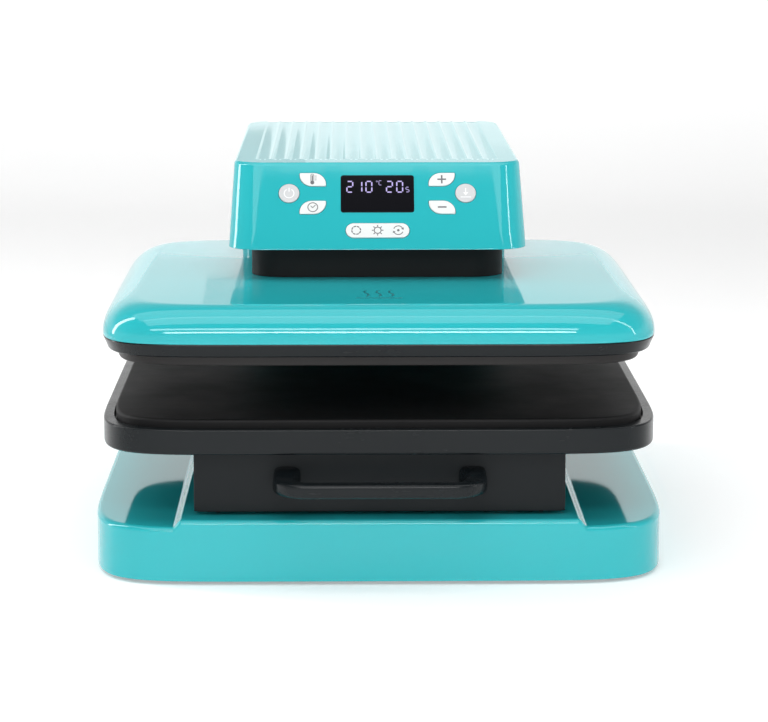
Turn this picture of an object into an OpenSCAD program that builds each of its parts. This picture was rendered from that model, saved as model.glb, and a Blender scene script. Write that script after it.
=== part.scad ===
// Automatic drawer-type heat press: a heated platen driven down by a motor screw
// on to a padded tray that slides out on telescopic rails.
// Frame: origin under the middle of the outline, +Z up, the control panel faces -Y.

/* [Platen and tray] */
// Width and depth of the platen cover, platen frame and tray
platen_w = 406; // [340:1:490]
// Width and depth of the heated plate
plate_w = 384; // [320:1:464]
// Thickness of the heated plate
plate_t = 13; // [12:0.5:20]
// How far the heated plate stands below its frame
plate_below = 7.2; // [4:0.2:9]
// Height of the black frame round the heated plate
band_h = 9.8; // [8:0.2:16]
// Height of the domed platen cover
cover_h = 27; // [26:1:40]
// Height of the tray's outside wall
tray_h = 18.5; // [15:0.5:28]
// Thickness of the tray's rim
rim_t = 7.5; // [5:0.5:12]
// Thickness of the silicone pad
pad_t = 10; // [8:0.5:16]
// How far the pad stands above the tray's rim
pad_proud = 6; // [2:0.5:7]
// Open gap between the pad and the heated plate
press_gap = 38.5; // [25:0.5:45]

/* [Base] */
// Margin of the base beyond the platen at each side
base_margin = 7.5; // [2:0.5:25]
// Height of the base housing
base_h = 45; // [38:1:70]
// Width of the raised middle of the base
deck_w = 285; // [280:1:330]
// Height of the step from the side wings up to the raised middle
wing_drop = 5.5; // [3:0.5:9]
// Height of the feet below the housing
foot_h = 2.5; // [2:0.5:10]
// Radius of a foot
foot_r = 13; // [8:1:20]

/* [Head and column] */
// Width of the head at its lower edge
head_w = 226; // [218:1:300]
// Height of the head
head_h = 62; // [61:0.5:80]
// How far each side of the head leans in over its height
head_draft = 3.4; // [1:0.2:6]
// Angle that the control panel leans back from upright
panel_lean = 32; // [24:0.5:34]
// Radius of the head's and column's upright corners
head_r = 24; // [16:1:28]
// Depth of the column behind the platen
column_d = 117; // [100:1:150]
// Pitch of the flutes along the head's top
flute_pitch = 11.7; // [8:0.1:20]
// Depth of a flute
flute_depth = 0.9; // [0.4:0.1:1.4]

/* [Skirt and lift] */
// Width of the sliding skirt
skirt_w = 192; // [184:1:196]
// Depth of the sliding skirt
skirt_d = 107; // [106:1:128]
// Radius of the skirt's corners
skirt_r = 24; // [15:1:30]
// Height of the skirt that shows with the press open
skirt_show = 23; // [20:1:28]
// Travel of the platen
stroke = 38; // [20:0.5:38]
// Radius of the lift screw and of the guide rods
rod_r = 6; // [5:0.2:7.2]

/* [Drawer] */
// Width of the drawer
drawer_w = 268; // [223:1:272]
// Height of the drawer front
drawer_h = 44.5; // [40:0.5:60]
// Width of the handle
handle_w = 153; // [120:1:200]
// Depth of the handle's bar
bar_d = 13; // [10:1:20]
// Height of the handle's bar
bar_h = 10.5; // [8:0.5:13]
// Finger space between the bar and the drawer front
finger_gap = 27; // [20:0.5:34]

/* [Control panel] */
// Diameter of the two round buttons
round_d = 15.6; // [12:0.2:18]
// Width of a leaf-shaped button
leaf_w = 20; // [16:0.5:22]
// Height of a leaf-shaped button
leaf_h = 11; // [8:0.1:12]
// Width of the display window
display_w = 55.6; // [45:0.2:58]
// Height of the display window
display_h = 31.2; // [22:0.2:32]
// Width of the mode key
mode_w = 48; // [36:0.5:56]
// Height of the mode key
mode_h = 12; // [8:0.5:13]
// Travel of a button
key_travel = 0.8; // [0.4:0.1:1.2]

/* [Hidden] */
$fn = 48;

// Plan outlines: exponent of the rounded squares and points round each
plan_n = 8.4;
plan_points = 96;
dome_points = 64;

// Walls and clearances
wall = 3;
fit = 0.3;
run = 0.05;
slip = 1.5;

// Heights, from the table up
shell_z = foot_h;
deck_z = shell_z + base_h;
wing_z = deck_z - wing_drop;
pan_t = 2.5;
pan_z = shell_z + wall;
pan_top = pan_z + pan_t;
drawer_z = deck_z + 2.5;
tray_z = drawer_z + drawer_h;
tray_floor = 4;
pad_top = tray_z + tray_h + pad_proud;
pad_z = pad_top - pad_t;
plate_z = pad_top + press_gap;
plate_top = plate_z + plate_t;
band_z = plate_z + plate_below;
cover_z = band_z + band_h;
cover_top = cover_z + cover_h;
head_z = cover_top + skirt_show;
head_top = head_z + head_h;

// Places from front to back
bar_ahead = 22;
tray_back_gap = 9;
platen_inset = 3.8;
column_inset = 3;
base_w = platen_w + 2 * base_margin;
base_d = platen_inset + platen_w + tray_back_gap + column_d + column_inset;
front_y = (bar_ahead - base_d) / 2;
rear_y = front_y + base_d;
middle_y = (front_y + rear_y) / 2;
platen_y = front_y + platen_inset + platen_w / 2;
column_front = platen_y + platen_w / 2 + tray_back_gap;
column_rear = column_front + column_d;
column_y = (column_front + column_rear) / 2;
drawer_y = front_y - bar_ahead + bar_d + finger_gap;

// Head
skirt_overhang = 17;
head_front = platen_y - skirt_d / 2 - skirt_overhang;
panel_top_y = head_front + head_h * tan(panel_lean);
edge_r = 2.4;
flute_setback = 27;
flute_margin = 14.5;
flute_count = floor((head_w - 2 * head_draft - 2 * flute_margin) / flute_pitch);
flute_w = flute_pitch * 0.8;
flute_r = (pow(flute_w / 2, 2) + pow(flute_depth, 2)) / (2 * flute_depth);

// Steel frame
arm_t = 4;
arm_x = skirt_w / 2 + 2.5;
arm_front = panel_top_y + 7.5;
arm_z = head_z + 4.5;
top_plate_t = 4;
top_plate_z = head_top - 17.5;
side_front = column_front + 12;
side_rear = column_rear - 24;
back_y = column_front + 28;
back_t = 4;

// Lift mechanism
insulation_t = 6;
carriage_t = 5;
carriage_z = plate_top + insulation_t + 4;
rod_top = head_top - wall - 2.5;
rod_x = skirt_w / 2 - 25;
rod_front = 14;
rod_rear = 32;
bushing_r = rod_r + 3.5;
housing_r = bushing_r + 3;
housing_z = cover_top + 12.5;
skirt_t = 3;
skirt_top = head_z + 4.5;
inner_skirt_t = 2;
inner_skirt_gap = 1;
inner_skirt_z = carriage_z + carriage_t + 1.5;
nut_r = rod_r + 6;
nut_flange_r = rod_r + 9;
nut_body_h = 15;
nut_flange_h = 5;
bearing_h = 8;
bearing_r = rod_r + 8;
bearing_housing_h = bearing_h + 2;
nut_top = top_plate_z - bearing_housing_h - 3;
nut_z = nut_top - nut_flange_h - nut_body_h;
screw_z = nut_z - stroke + 2.5;
gear_z = top_plate_z + top_plate_t + 1.5;
gear_t = 7;
gear_m = 1;
gear_teeth = 44;
pinion_teeth = 28;
centre_distance = gear_m * (gear_teeth + pinion_teeth) / 2;
motor_r = 17;
motor_h = 46;
motor_plate_h = 2;
shaft_r = 3;
post_r = 7;
post_x = skirt_w / 2 - 5;
post_y = skirt_d / 2 + 1.5;
element_r = 4;
element_span = plate_w - 80;
element_bend = 40;

// Drawer slides: three steel members, one inside the next
slide_room = 12.7;
drawer_wall = 2.5;
support_w = drawer_w - 2 * drawer_wall - 2 * slide_room;
support_front = drawer_y + 10;
support_rear = platen_y + platen_w / 2 - 13;
glide_h = 3.2;
support_top = tray_z - wall - glide_h - 0.3;
slide_h = 36;
slide_z = support_top - slide_h - 0.5;
slide_t = 1.5;
slide_front = drawer_y + 13;
slide_l = support_rear - slide_front - 22;
drawer_rear = slide_front + slide_l + 12;

// Handle
handle_z = drawer_z + 17.5;
arm_w = 15.5;
root_h = 16;
handle_r = 13;
screw_r = 2.5;

// Panel layout: across from the middle, and up the panel from its lower edge
round_u = 67;
round_v = 47.2;
leaf_u = 49;
leaf_high_v = 58.7;
leaf_low_v = 35.4;
display_v = 46.8;
mode_v = 16.1;
key_proud = 0.6;
key_flange = 1.2;
board_gap = 6;
board_t = 1.6;

// Rear services
service_z = deck_z + 28;
inlet_x = -58;
switch_x = -18;
inlet_w = 27;
inlet_h = 19.5;
switch_w = 19;
switch_h = 13;
fan_size = 60;
fan_t = 15;
fan_z = head_z - 50;

// ---------- Plan shapes ----------

function power(v, e) = sign(v) * pow(abs(v), e);

// A square with soft corners and slightly full sides
function soft_square(w, d, points) = [
    for (i = [0 : points - 1])
        let (t = 360 * i / points)
            [w / 2 * power(cos(t), 2 / plan_n), d / 2 * power(sin(t), 2 / plan_n)]
];

module soft_slab(w, d, h, points = plan_points) {
    linear_extrude(h) polygon(soft_square(w, d, points));
}

module round_rect(w, d, r) {
    square([w - 2 * r, d], center = true);
    square([w, d - 2 * r], center = true);
    for (x = [-1, 1], y = [-1, 1])
        translate([x * (w / 2 - r), y * (d / 2 - r)]) circle(r);
}

module round_slab(w, d, r, h) {
    linear_extrude(h) round_rect(w, d, r);
}

// A box given by its two opposite corners
module block(low, high) {
    translate(low) cube(high - low);
}

module pair_x() {
    children();
    mirror([1, 0, 0]) children();
}

module at_platen(z = 0) {
    translate([0, platen_y, z]) children();
}

module at_rods(z) {
    for (x = [-rod_x, rod_x], y = [-rod_front, rod_rear])
        translate([x, platen_y + y, z]) children();
}

module at_posts(z) {
    for (x = [-post_x, post_x], y = [-post_y, post_y])
        translate([x, platen_y + y, z]) children();
}

module ring(outer, inner, h) {
    difference() {
        cylinder(r = outer, h = h);
        translate([0, 0, -1]) cylinder(r = inner, h = h + 2);
    }
}

// ---------- Base ----------

foot_x = base_w / 2 - 46;
foot_y = base_d / 2 - 50;

module feet() {
    color("#1d1e20")
        for (x = [-foot_x, foot_x], y = [-foot_y, foot_y])
            translate([x, middle_y + y, 0]) {
                cylinder(r = foot_r, h = foot_h);
                translate([0, 0, foot_h]) cylinder(r = foot_r - 3, h = pan_z - foot_h);
            }
}

boss_x = base_w / 2 - 20;
boss_y = base_d / 2 - 92;

module at_bosses(z) {
    for (x = [-boss_x, boss_x], y = [-boss_y, 0, boss_y])
        translate([x, middle_y + y, z]) children();
}

module base_pan() {
    inset = 2 * (wall + fit);
    color("#9a9c9e")
        difference() {
            translate([0, middle_y, pan_z])
                soft_slab(base_w - inset, base_d - inset, pan_t);
            at_bosses(pan_z - 1) cylinder(r = 2.2, h = pan_t + 2);
        }
}

module pan_screws() {
    color("#c9ccce") {
        at_bosses(pan_z) cylinder(r = 2, h = pan_t + 10);
        at_bosses(pan_z - 1.8) cylinder(r = 4, h = 1.8);
    }
}

module deck_band(h) {
    intersection() {
        soft_slab(base_w, base_d, h);
        translate([-deck_w / 2, -base_d, 0]) cube([deck_w, 2 * base_d, h]);
    }
}

module base_shell() {
    inner_w = base_w - 2 * wall;
    inner_d = base_d - 2 * wall;
    color("#35c3c8")
        difference() {
            translate([0, middle_y, shell_z]) {
                soft_slab(base_w, base_d, wing_z - shell_z);
                translate([0, 0, wing_z - shell_z - 1]) deck_band(wing_drop + 1);
            }
            difference() {
                translate([0, middle_y, shell_z - 1])
                    soft_slab(inner_w, inner_d, wing_z - shell_z - wall + 1);
                at_bosses(pan_top) cylinder(r = 5, h = base_h);
            }
            at_bosses(pan_top - 1) cylinder(r = 2, h = 11.5);
            block([-deck_w / 2 + wall, front_y + 20, wing_z - wall - 1],
                [deck_w / 2 - wall, rear_y - 20, deck_z - wall]);
            block([-support_w / 2 - 1, support_front - 1, deck_z - 2 * wall],
                [support_w / 2 + 1, support_rear + 1, deck_z + 1]);
            block([-arm_x - arm_t - 1, side_front - 1, deck_z - 2 * wall],
                [arm_x + arm_t + 1, side_rear + 1, deck_z + 1]);
        }
}

// ---------- Drawer and its slides ----------

module slide_support() {
    color("#8d9093")
        difference() {
            block([-support_w / 2, support_front, pan_top],
                [support_w / 2, support_rear, support_top]);
            block([-support_w / 2 + wall, support_front - 1, pan_top - 1],
                [support_w / 2 - wall, support_rear + 1, support_top - wall]);
        }
}

module glide_strips() {
    strip_w = 20;
    strip_x = support_w / 2 - 55;
    color("#e8e6df")
        pair_x()
            block([strip_x - strip_w / 2, support_front + 8, support_top],
                [strip_x + strip_w / 2, support_rear - 8, support_top + glide_h]);
}

// One C-shaped slide member, with its web on the low-x side
module slide_channel(x, depth, z, h) {
    difference() {
        block([x, slide_front, z], [x + depth, slide_front + slide_l, z + h]);
        block([x + slide_t, slide_front - 1, z + slide_t],
            [x + depth + 1, slide_front + slide_l + 1, z + h - slide_t]);
    }
}

module slide_outer() {
    color("#b8bbbe")
        pair_x() slide_channel(support_w / 2, 9, slide_z, slide_h);
}

module slide_middle() {
    gap = 4;
    color("#b8bbbe")
        pair_x() slide_channel(support_w / 2 + 3, 7.5, slide_z + gap, slide_h - 2 * gap);
}

module slide_inner() {
    gap = 7.5;
    inner_x = support_w / 2 + slide_room;
    color("#b8bbbe")
        pair_x() {
            block([inner_x - slide_t, slide_front, slide_z + gap],
                [inner_x, slide_front + slide_l, slide_z + slide_h - gap]);
            for (z = [slide_z + gap, slide_z + slide_h - gap - slide_t])
                block([inner_x - 7.5, slide_front, z],
                    [inner_x - slide_t, slide_front + slide_l, z + slide_t]);
        }
}

module drawer_frame() {
    color("#2a2c2e")
        difference() {
            block([-drawer_w / 2, drawer_y + wall, drawer_z],
                [drawer_w / 2, drawer_rear, tray_z]);
            block([-drawer_w / 2 + drawer_wall, drawer_y, drawer_z - 1],
                [drawer_w / 2 - drawer_wall, drawer_rear + 1, tray_z - wall]);
            at_posts(tray_z - wall - 1) cylinder(r = screw_r + 0.1, h = wall + 2);
        }
}

module drawer_front() {
    color("#2a2c2e")
        difference() {
            translate([0, drawer_y + wall, (drawer_z + tray_z) / 2])
                rotate([90, 0, 0]) round_slab(drawer_w, drawer_h, 2, wall);
            pair_x() handle_bore(drawer_y - 1, wall + 2, screw_r + 0.1);
        }
}

handle_x = (handle_w - arm_w) / 2;

module handle_bore(y, length, r) {
    translate([handle_x, y, handle_z + root_h / 2])
        rotate([-90, 0, 0]) cylinder(r = r, h = length);
}

module handle() {
    reach = bar_d + finger_gap;
    bar_y = drawer_y - reach;
    color("#1f2123")
        difference() {
            union() {
                difference() {
                    translate([0, bar_y + reach / 2, handle_z])
                        round_slab(handle_w, reach, handle_r, bar_h);
                    block([-handle_w / 2 + arm_w, bar_y + bar_d, handle_z - 1],
                        [handle_w / 2 - arm_w, drawer_y + 1, handle_z + bar_h + 1]);
                }
                pair_x()
                    translate([handle_x, drawer_y - finger_gap + 1, handle_z + root_h / 2])
                        rotate([-90, 0, 0]) cylinder(r = root_h / 2, h = finger_gap - 1);
                pair_x()
                    block([handle_x - arm_w / 2 + 0.5, drawer_y - finger_gap - 4, handle_z],
                        [handle_x + arm_w / 2 - 0.5, drawer_y, handle_z + root_h / 2]);
            }
            pair_x() handle_bore(drawer_y - 12, 13, screw_r + 0.1);
        }
}

module handle_screws() {
    color("#c9ccce")
        pair_x() {
            handle_bore(drawer_y - 11, 11 + wall, screw_r);
            handle_bore(drawer_y + wall, 3, 2 * screw_r);
        }
}

pocket_w = platen_w - 2 * rim_t;

module base_tray() {
    color("#2a2c2f")
        difference() {
            at_platen(tray_z) soft_slab(platen_w, platen_w, tray_h);
            at_platen(tray_z + tray_floor) soft_slab(pocket_w, pocket_w, tray_h);
            at_posts(tray_z - 1) cylinder(r = screw_r + 0.1, h = tray_floor + 2);
        }
}

module pad_plate() {
    color("#a9acae")
        difference() {
            at_platen(tray_z + tray_floor)
                soft_slab(pocket_w - 1, pocket_w - 1, pad_z - tray_z - tray_floor);
            at_posts(tray_z) cylinder(r = screw_r + 0.1, h = tray_floor + 4);
        }
}

module silicone_pad() {
    pad_w = pocket_w - 3;
    bevel = 1.5;
    color("#17181a")
        at_platen(pad_z) {
            soft_slab(pad_w, pad_w, pad_t - bevel);
            translate([0, 0, pad_t - bevel])
                soft_slab(pad_w - bevel, pad_w - bevel, bevel);
        }
}

module tray_screws() {
    color("#c9ccce") {
        at_posts(tray_z - wall) cylinder(r = screw_r, h = wall + tray_floor + 3);
        at_posts(tray_z - wall - 2) cylinder(r = 2 * screw_r, h = 2);
    }
}

// ---------- Steel frame ----------

module frame_side() {
    color("#8d9093")
        block([arm_x, side_front, pan_top], [arm_x + arm_t, side_rear, top_plate_z]);
}

module frame_side_left() {
    mirror([1, 0, 0]) frame_side();
}

module frame_side_right() {
    frame_side();
}

module frame_arm() {
    color("#8d9093")
        block([arm_x, arm_front, arm_z], [arm_x + arm_t, side_front, top_plate_z]);
}

module frame_arm_left() {
    mirror([1, 0, 0]) frame_arm();
}

module frame_arm_right() {
    frame_arm();
}

module frame_back() {
    color("#8d9093")
        block([-arm_x, back_y, pan_top], [arm_x, back_y + back_t, top_plate_z]);
}

module top_plate() {
    color("#8d9093")
        difference() {
            block([-arm_x - arm_t, arm_front, top_plate_z],
                [arm_x + arm_t, side_rear, top_plate_z + top_plate_t]);
            at_rods(top_plate_z - 1) cylinder(r = rod_r + 1.5, h = top_plate_t + 2);
            at_platen(top_plate_z - 1) cylinder(r = rod_r + 2, h = top_plate_t + 2);
            translate([centre_distance, platen_y, top_plate_z - 1])
                cylinder(r = shaft_r + 3, h = top_plate_t + 2);
        }
}

// ---------- Lift ----------

module guide_housings() {
    color("#b3b6b9")
        at_rods(housing_z) ring(housing_r, bushing_r, top_plate_z - housing_z);
}

module linear_bushings() {
    color("#d6d8da")
        at_rods(housing_z + 1) ring(bushing_r, rod_r + run, top_plate_z - housing_z - 2);
}

module bearing_housing() {
    color("#b3b6b9")
        at_platen(top_plate_z - bearing_housing_h)
            difference() {
                cylinder(r = bearing_r + 3.5, h = bearing_housing_h);
                translate([0, 0, 2]) cylinder(r = bearing_r, h = bearing_housing_h);
                translate([0, 0, -1]) cylinder(r = bearing_r - 3, h = 4);
            }
}

module screw_bearing() {
    color("#d6d8da")
        at_platen(top_plate_z - bearing_h) ring(bearing_r, rod_r + run, bearing_h);
}

module lift_motor() {
    color("#46494c")
        translate([centre_distance, platen_y, top_plate_z - motor_plate_h - motor_h])
            difference() {
                union() {
                    cylinder(r = motor_r, h = motor_h);
                    translate([0, 0, motor_h]) cylinder(r = motor_r - 1, h = motor_plate_h);
                }
                translate([0, 0, motor_h - 8])
                    cylinder(r = shaft_r + run, h = 9 + motor_plate_h);
            }
}

// Half the angle that a tooth takes up at radius r
function tooth_half(teeth, r) =
    let (pitch_r = gear_m * teeth / 2,
         base_r = pitch_r * cos(20),
         at = acos(min(1, base_r / r)),
         play = 0.08)
        (90 / teeth) - play / pitch_r * 180 / PI
        + (tan(20) * 180 / PI - 20) - (tan(at) * 180 / PI - at);

function gear_outline(teeth, turn) =
    let (pitch_r = gear_m * teeth / 2,
         base_r = pitch_r * cos(20),
         root_r = pitch_r - 1.25 * gear_m,
         tip_r = pitch_r + 0.92 * gear_m,
         low_r = max(base_r, root_r) + 0.01,
         flank = [low_r, (low_r + tip_r) / 2, tip_r])
        [for (i = [0 : teeth - 1])
            let (mid = turn + 360 * i / teeth)
                each concat(
                    [root_r * [cos(mid - tooth_half(teeth, low_r)),
                        sin(mid - tooth_half(teeth, low_r))]],
                    [for (r = flank) r * [cos(mid - tooth_half(teeth, r)),
                        sin(mid - tooth_half(teeth, r))]],
                    [for (k = [2 : -1 : 0]) flank[k] * [cos(mid + tooth_half(teeth, flank[k])),
                        sin(mid + tooth_half(teeth, flank[k]))]],
                    [root_r * [cos(mid + tooth_half(teeth, low_r)),
                        sin(mid + tooth_half(teeth, low_r))]])];

module motor_pinion() {
    color("#caa64a")
        translate([centre_distance, platen_y, 0]) {
            translate([0, 0, gear_z])
                linear_extrude(gear_t)
                    polygon(gear_outline(pinion_teeth, 180 + 180 / pinion_teeth));
            translate([0, 0, top_plate_z - motor_plate_h - 7])
                cylinder(r = shaft_r, h = gear_z - top_plate_z + motor_plate_h + 7);
        }
}

module lift_screw() {
    color("#c4c7ca")
        at_platen(screw_z) cylinder(r = rod_r, h = gear_z + gear_t - screw_z);
}

module screw_gear() {
    color("#caa64a")
        at_platen(gear_z)
            difference() {
                linear_extrude(gear_t) polygon(gear_outline(gear_teeth, 0));
                translate([0, 0, -1]) cylinder(r = rod_r, h = gear_t + 2);
            }
}

module lift_nut() {
    color("#b08a3c")
        at_platen(nut_z)
            difference() {
                union() {
                    cylinder(r = nut_r, h = nut_body_h);
                    translate([0, 0, nut_body_h]) cylinder(r = nut_flange_r, h = nut_flange_h);
                }
                translate([0, 0, -1]) cylinder(r = rod_r + run, h = nut_body_h + 7);
            }
}

module nut_tube() {
    foot = carriage_z + carriage_t;
    color("#b3b6b9")
        at_platen(foot)
            difference() {
                union() {
                    cylinder(r = nut_flange_r, h = nut_z + nut_body_h - foot);
                    cylinder(r = nut_flange_r + 9, h = 4);
                }
                translate([0, 0, -1]) cylinder(r = nut_r, h = nut_top);
            }
}

module guide_rods() {
    color("#d6d8da")
        at_rods(carriage_z) cylinder(r = rod_r, h = rod_top - carriage_z);
}

module carriage_plate() {
    color("#8d9093")
        difference() {
            at_platen(carriage_z)
                round_slab(2 * post_x + 30, 2 * post_y + 30, 10, carriage_t);
            at_rods(carriage_z - 1) cylinder(r = rod_r, h = carriage_t + 2);
            at_platen(carriage_z - 1) cylinder(r = nut_r, h = carriage_t + 2);
        }
}

module platen_posts() {
    color("#b3b6b9")
        at_posts(plate_top) cylinder(r = post_r, h = carriage_z - plate_top);
}

// One of the two telescoping skirts, its outside taken in from the platen skirt's
module skirt_tube(inset, t, low, high) {
    at_platen(low)
        difference() {
            round_slab(skirt_w - 2 * inset, skirt_d - 2 * inset, skirt_r - inset, high - low);
            translate([0, 0, -1])
                round_slab(skirt_w - 2 * inset - 2 * t, skirt_d - 2 * inset - 2 * t,
                    skirt_r - inset - t, high - low + 2);
        }
}

module skirt() {
    color("#1c1d1f") skirt_tube(0, skirt_t, cover_top, skirt_top);
}

// Fixed under the top plate; its front is cut away behind the control board
module inner_skirt() {
    behind = wall + board_gap + board_t + 1.5;
    color("#1c1d1f")
        difference() {
            skirt_tube(skirt_t + inner_skirt_gap, inner_skirt_t, inner_skirt_z, top_plate_z);
            on_panel(-head_w, -head_h)
                translate([0, 0, -behind]) cube([2 * head_w, 3 * head_h, head_h]);
            at_platen(top_plate_z - 12)
                translate([-head_w, -skirt_d, 0])
                    cube([2 * head_w, skirt_d + arm_front - platen_y, 13]);
        }
}

// ---------- Heated platen ----------

// A dome whose edge rolls over from upright to flat
module dome(w, h, roll) {
    steps = 6;
    hull()
        for (i = [0 : steps])
            let (a = 90 * i / steps, inset = roll * (1 - cos(a)))
                translate([0, 0, (h - 0.5) * sin(a)])
                    soft_slab(w - 2 * inset, w - 2 * inset, 0.5, dome_points);
}

module platen_cover() {
    roll = 26;
    color("#35c3c8")
        difference() {
            at_platen(cover_z) dome(platen_w, cover_h, roll);
            at_platen(cover_z - 1) dome(platen_w - 2 * wall, cover_h - wall + 1, roll);
            at_platen(cover_z)
                round_slab(skirt_w - 2 * skirt_t + 1, skirt_d - 2 * skirt_t + 1,
                    skirt_r - skirt_t + 0.5, cover_h + 1);
        }
}

module platen_frame() {
    opening = plate_w + 2;
    color("#2a2c2f")
        at_platen(band_z)
            difference() {
                soft_slab(platen_w, platen_w, band_h);
                translate([0, 0, -1]) soft_slab(opening, opening, band_h + 2);
            }
}

module insulation_board() {
    board_w = plate_w - 8;
    color("#d9d2bd")
        difference() {
            at_platen(plate_top) soft_slab(board_w, board_w, insulation_t);
            at_posts(plate_top - 1) cylinder(r = post_r + fit, h = insulation_t + 2);
            translate([0, platen_y + 60, plate_top - 1])
                cylinder(r = 11, h = insulation_t + 2);
            element_ends(element_r + 1);
        }
}

// The looped tube of the element, or the channel it lies in
module element_path(r) {
    half = element_span / 2;
    at_platen(plate_top - element_r) {
        for (x = [-half, half])
            translate([x, half - element_bend, 0]) rotate([90, 0, 0])
                cylinder(r = r, h = element_span - 2 * element_bend);
        for (y = [-half, half])
            translate([-half + element_bend, y, 0]) rotate([0, 90, 0])
                cylinder(r = r, h = y > 0 ? half - element_bend - 20
                    : element_span - 2 * element_bend);
        translate([20, half, 0]) rotate([0, 90, 0])
            cylinder(r = r, h = half - element_bend - 20);
        for (k = [0 : 3])
            rotate([0, 0, 90 * k])
                translate([half - element_bend, half - element_bend, 0])
                    rotate_extrude(angle = 90) translate([element_bend, 0]) circle(r);
    }
}

module element_ends(r) {
    for (x = [-20, 20])
        translate([x, platen_y + element_span / 2, plate_top - element_r])
            cylinder(r = r, h = element_r + insulation_t + 4);
}

module heating_plate() {
    color("#3b3937")
        difference() {
            at_platen(plate_z) soft_slab(plate_w, plate_w, plate_t);
            element_path(element_r + 0.1);
            at_platen(plate_top - element_r)
                channel_mouth(element_r + 0.1);
            element_ends(element_r + 0.1);
        }
}

// The open top of the element's channel
module channel_mouth(r) {
    half = element_span / 2;
    side = 2 * r;
    linear_extrude(element_r + 1) {
        for (x = [-half, half])
            translate([x - r, element_bend - half]) square([side, element_span - 2 * element_bend]);
        translate([element_bend - half, -half - r]) square([element_span - 2 * element_bend, side]);
        for (x = [element_bend - half, 20])
            translate([x, half - r]) square([half - element_bend - 20, side]);
        for (k = [0 : 3])
            rotate(90 * k)
                translate([half - element_bend, half - element_bend])
                    intersection() {
                        difference() {
                            circle(element_bend + r);
                            circle(element_bend - r);
                        }
                        square(element_bend + r);
                    }
    }
}

module heating_element() {
    color("#6b5f55") {
        element_path(element_r);
        element_ends(element_r - 0.5);
    }
}

module thermostat() {
    color("#caa64a")
        translate([0, platen_y + 60, plate_top]) {
            cylinder(r = 9, h = 3);
            translate([0, 0, 3]) cylinder(r = 6, h = 6);
        }
}

// ---------- Head ----------

// One level of the head's solid, taken in all round by the wall and the eased edge
module head_level(z, inset, ease) {
    up = z - head_z;
    side = head_draft * up / head_h + inset + ease;
    front = head_front + up * tan(panel_lean) + inset / cos(panel_lean) + ease;
    rear = column_rear - inset - ease;
    translate([0, (front + rear) / 2, z])
        round_slab(head_w - 2 * side, rear - front, head_r - inset, 0.1, $fn = 40);
}

module head_block(inset, drop) {
    top = head_top - inset - 0.1;
    hull() {
        head_level(head_z - drop, inset, 0);
        head_level(top - edge_r, inset, 0);
        head_level(top - 0.3 * edge_r, inset, 0.3 * edge_r);
        head_level(top, inset, edge_r);
    }
}

module on_panel(u, v) {
    translate([0, head_front, head_z])
        rotate([90 - panel_lean, 0, 0]) translate([u, v, 0]) children();
}

// Sharp at two opposite corners and round at the other two
module leaf(w, h, side) {
    r = h * 0.86;
    tip = 0.8;
    scale([side, 1]) {
        intersection() {
            translate([-w / 2, -h / 2]) square([w, h]);
            union() {
                translate([-w / 2, -h / 2 + r]) square([w, h - r]);
                translate([-w / 2 + r, -h / 2]) square([w - r, r]);
                translate([-w / 2 + r, -h / 2 + r]) circle(r);
            }
            union() {
                translate([-w / 2, -h / 2]) square([w, h - r]);
                translate([-w / 2, h / 2 - r]) square([w - r, r]);
                translate([w / 2 - r, h / 2 - r]) circle(r);
            }
        }
    }
}

module pill(w, h) {
    square([w - h, h], center = true);
    for (x = [-1, 1]) translate([x * (w - h) / 2, 0]) circle(h / 2);
}

// Plan shapes of the keys, grown by a clearance all round
module round_key(grow) {
    circle(round_d / 2 + grow);
}

module leaf_key(side, grow) {
    leaf(leaf_w + 2 * grow, leaf_h + 2 * grow, side);
}

module mode_key(grow) {
    pill(mode_w + 2 * grow, mode_h + 2 * grow);
}

module display_plan(grow) {
    round_rect(display_w + 2 * grow, display_h + 2 * grow, 2);
}

module panel_cut(u, v) {
    on_panel(u, v) translate([0, 0, -wall - 3]) linear_extrude(wall + 6) children();
}

module head_cover() {
    flute_y = panel_top_y + flute_setback;
    color("#35c3c8")
        difference() {
            head_block(0, 0);
            head_block(wall, 1);
            for (i = [0 : flute_count - 1])
                translate([(i - (flute_count - 1) / 2) * flute_pitch, flute_y,
                    head_top + flute_r - flute_depth]) {
                    rotate([-90, 0, 0]) cylinder(r = flute_r, h = column_rear - flute_y + 1);
                    sphere(r = flute_r);
                }
            panel_cut(-round_u, round_v) round_key(fit);
            panel_cut(round_u, round_v) round_key(fit);
            panel_cut(-leaf_u, leaf_high_v) leaf_key(1, fit);
            panel_cut(-leaf_u, leaf_low_v) leaf_key(-1, fit);
            panel_cut(leaf_u, leaf_high_v) leaf_key(-1, fit);
            panel_cut(leaf_u, leaf_low_v) leaf_key(1, fit);
            panel_cut(0, mode_v) mode_key(fit);
            panel_cut(0, display_v) display_plan(0.1);
        }
}

module head_underside() {
    inset = wall + fit;
    front = head_front + (inset + wall) / cos(panel_lean);
    rear = column_rear - inset;
    color("#2fb2b8")
        difference() {
            translate([0, (front + rear) / 2, head_z])
                round_slab(head_w - 2 * inset - 0.6, rear - front, head_r - inset, wall);
            at_platen(head_z - 1)
                round_slab(skirt_w + 2 * slip, skirt_d + 2 * slip, skirt_r + slip, wall + 2);
            block([-arm_x - arm_t - 1, side_front - 1, head_z - 1],
                [arm_x + arm_t + 1, side_rear + 1, head_z + wall + 1]);
        }
}

module key(u, v) {
    color("#e9e9ea")
        on_panel(u, v) translate([0, 0, -wall - 0.1]) {
            linear_extrude(wall + 0.1 + key_proud) children(0);
            translate([0, 0, -key_flange]) linear_extrude(key_flange) children(1);
            translate([0, 0, -key_flange - 1.6]) cylinder(r = 2, h = 1.6);
        }
}

module button_power() {
    key(-round_u, round_v) {
        round_key(0);
        round_key(0.8);
    }
}

module button_start() {
    key(round_u, round_v) {
        round_key(0);
        round_key(0.8);
    }
}

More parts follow.
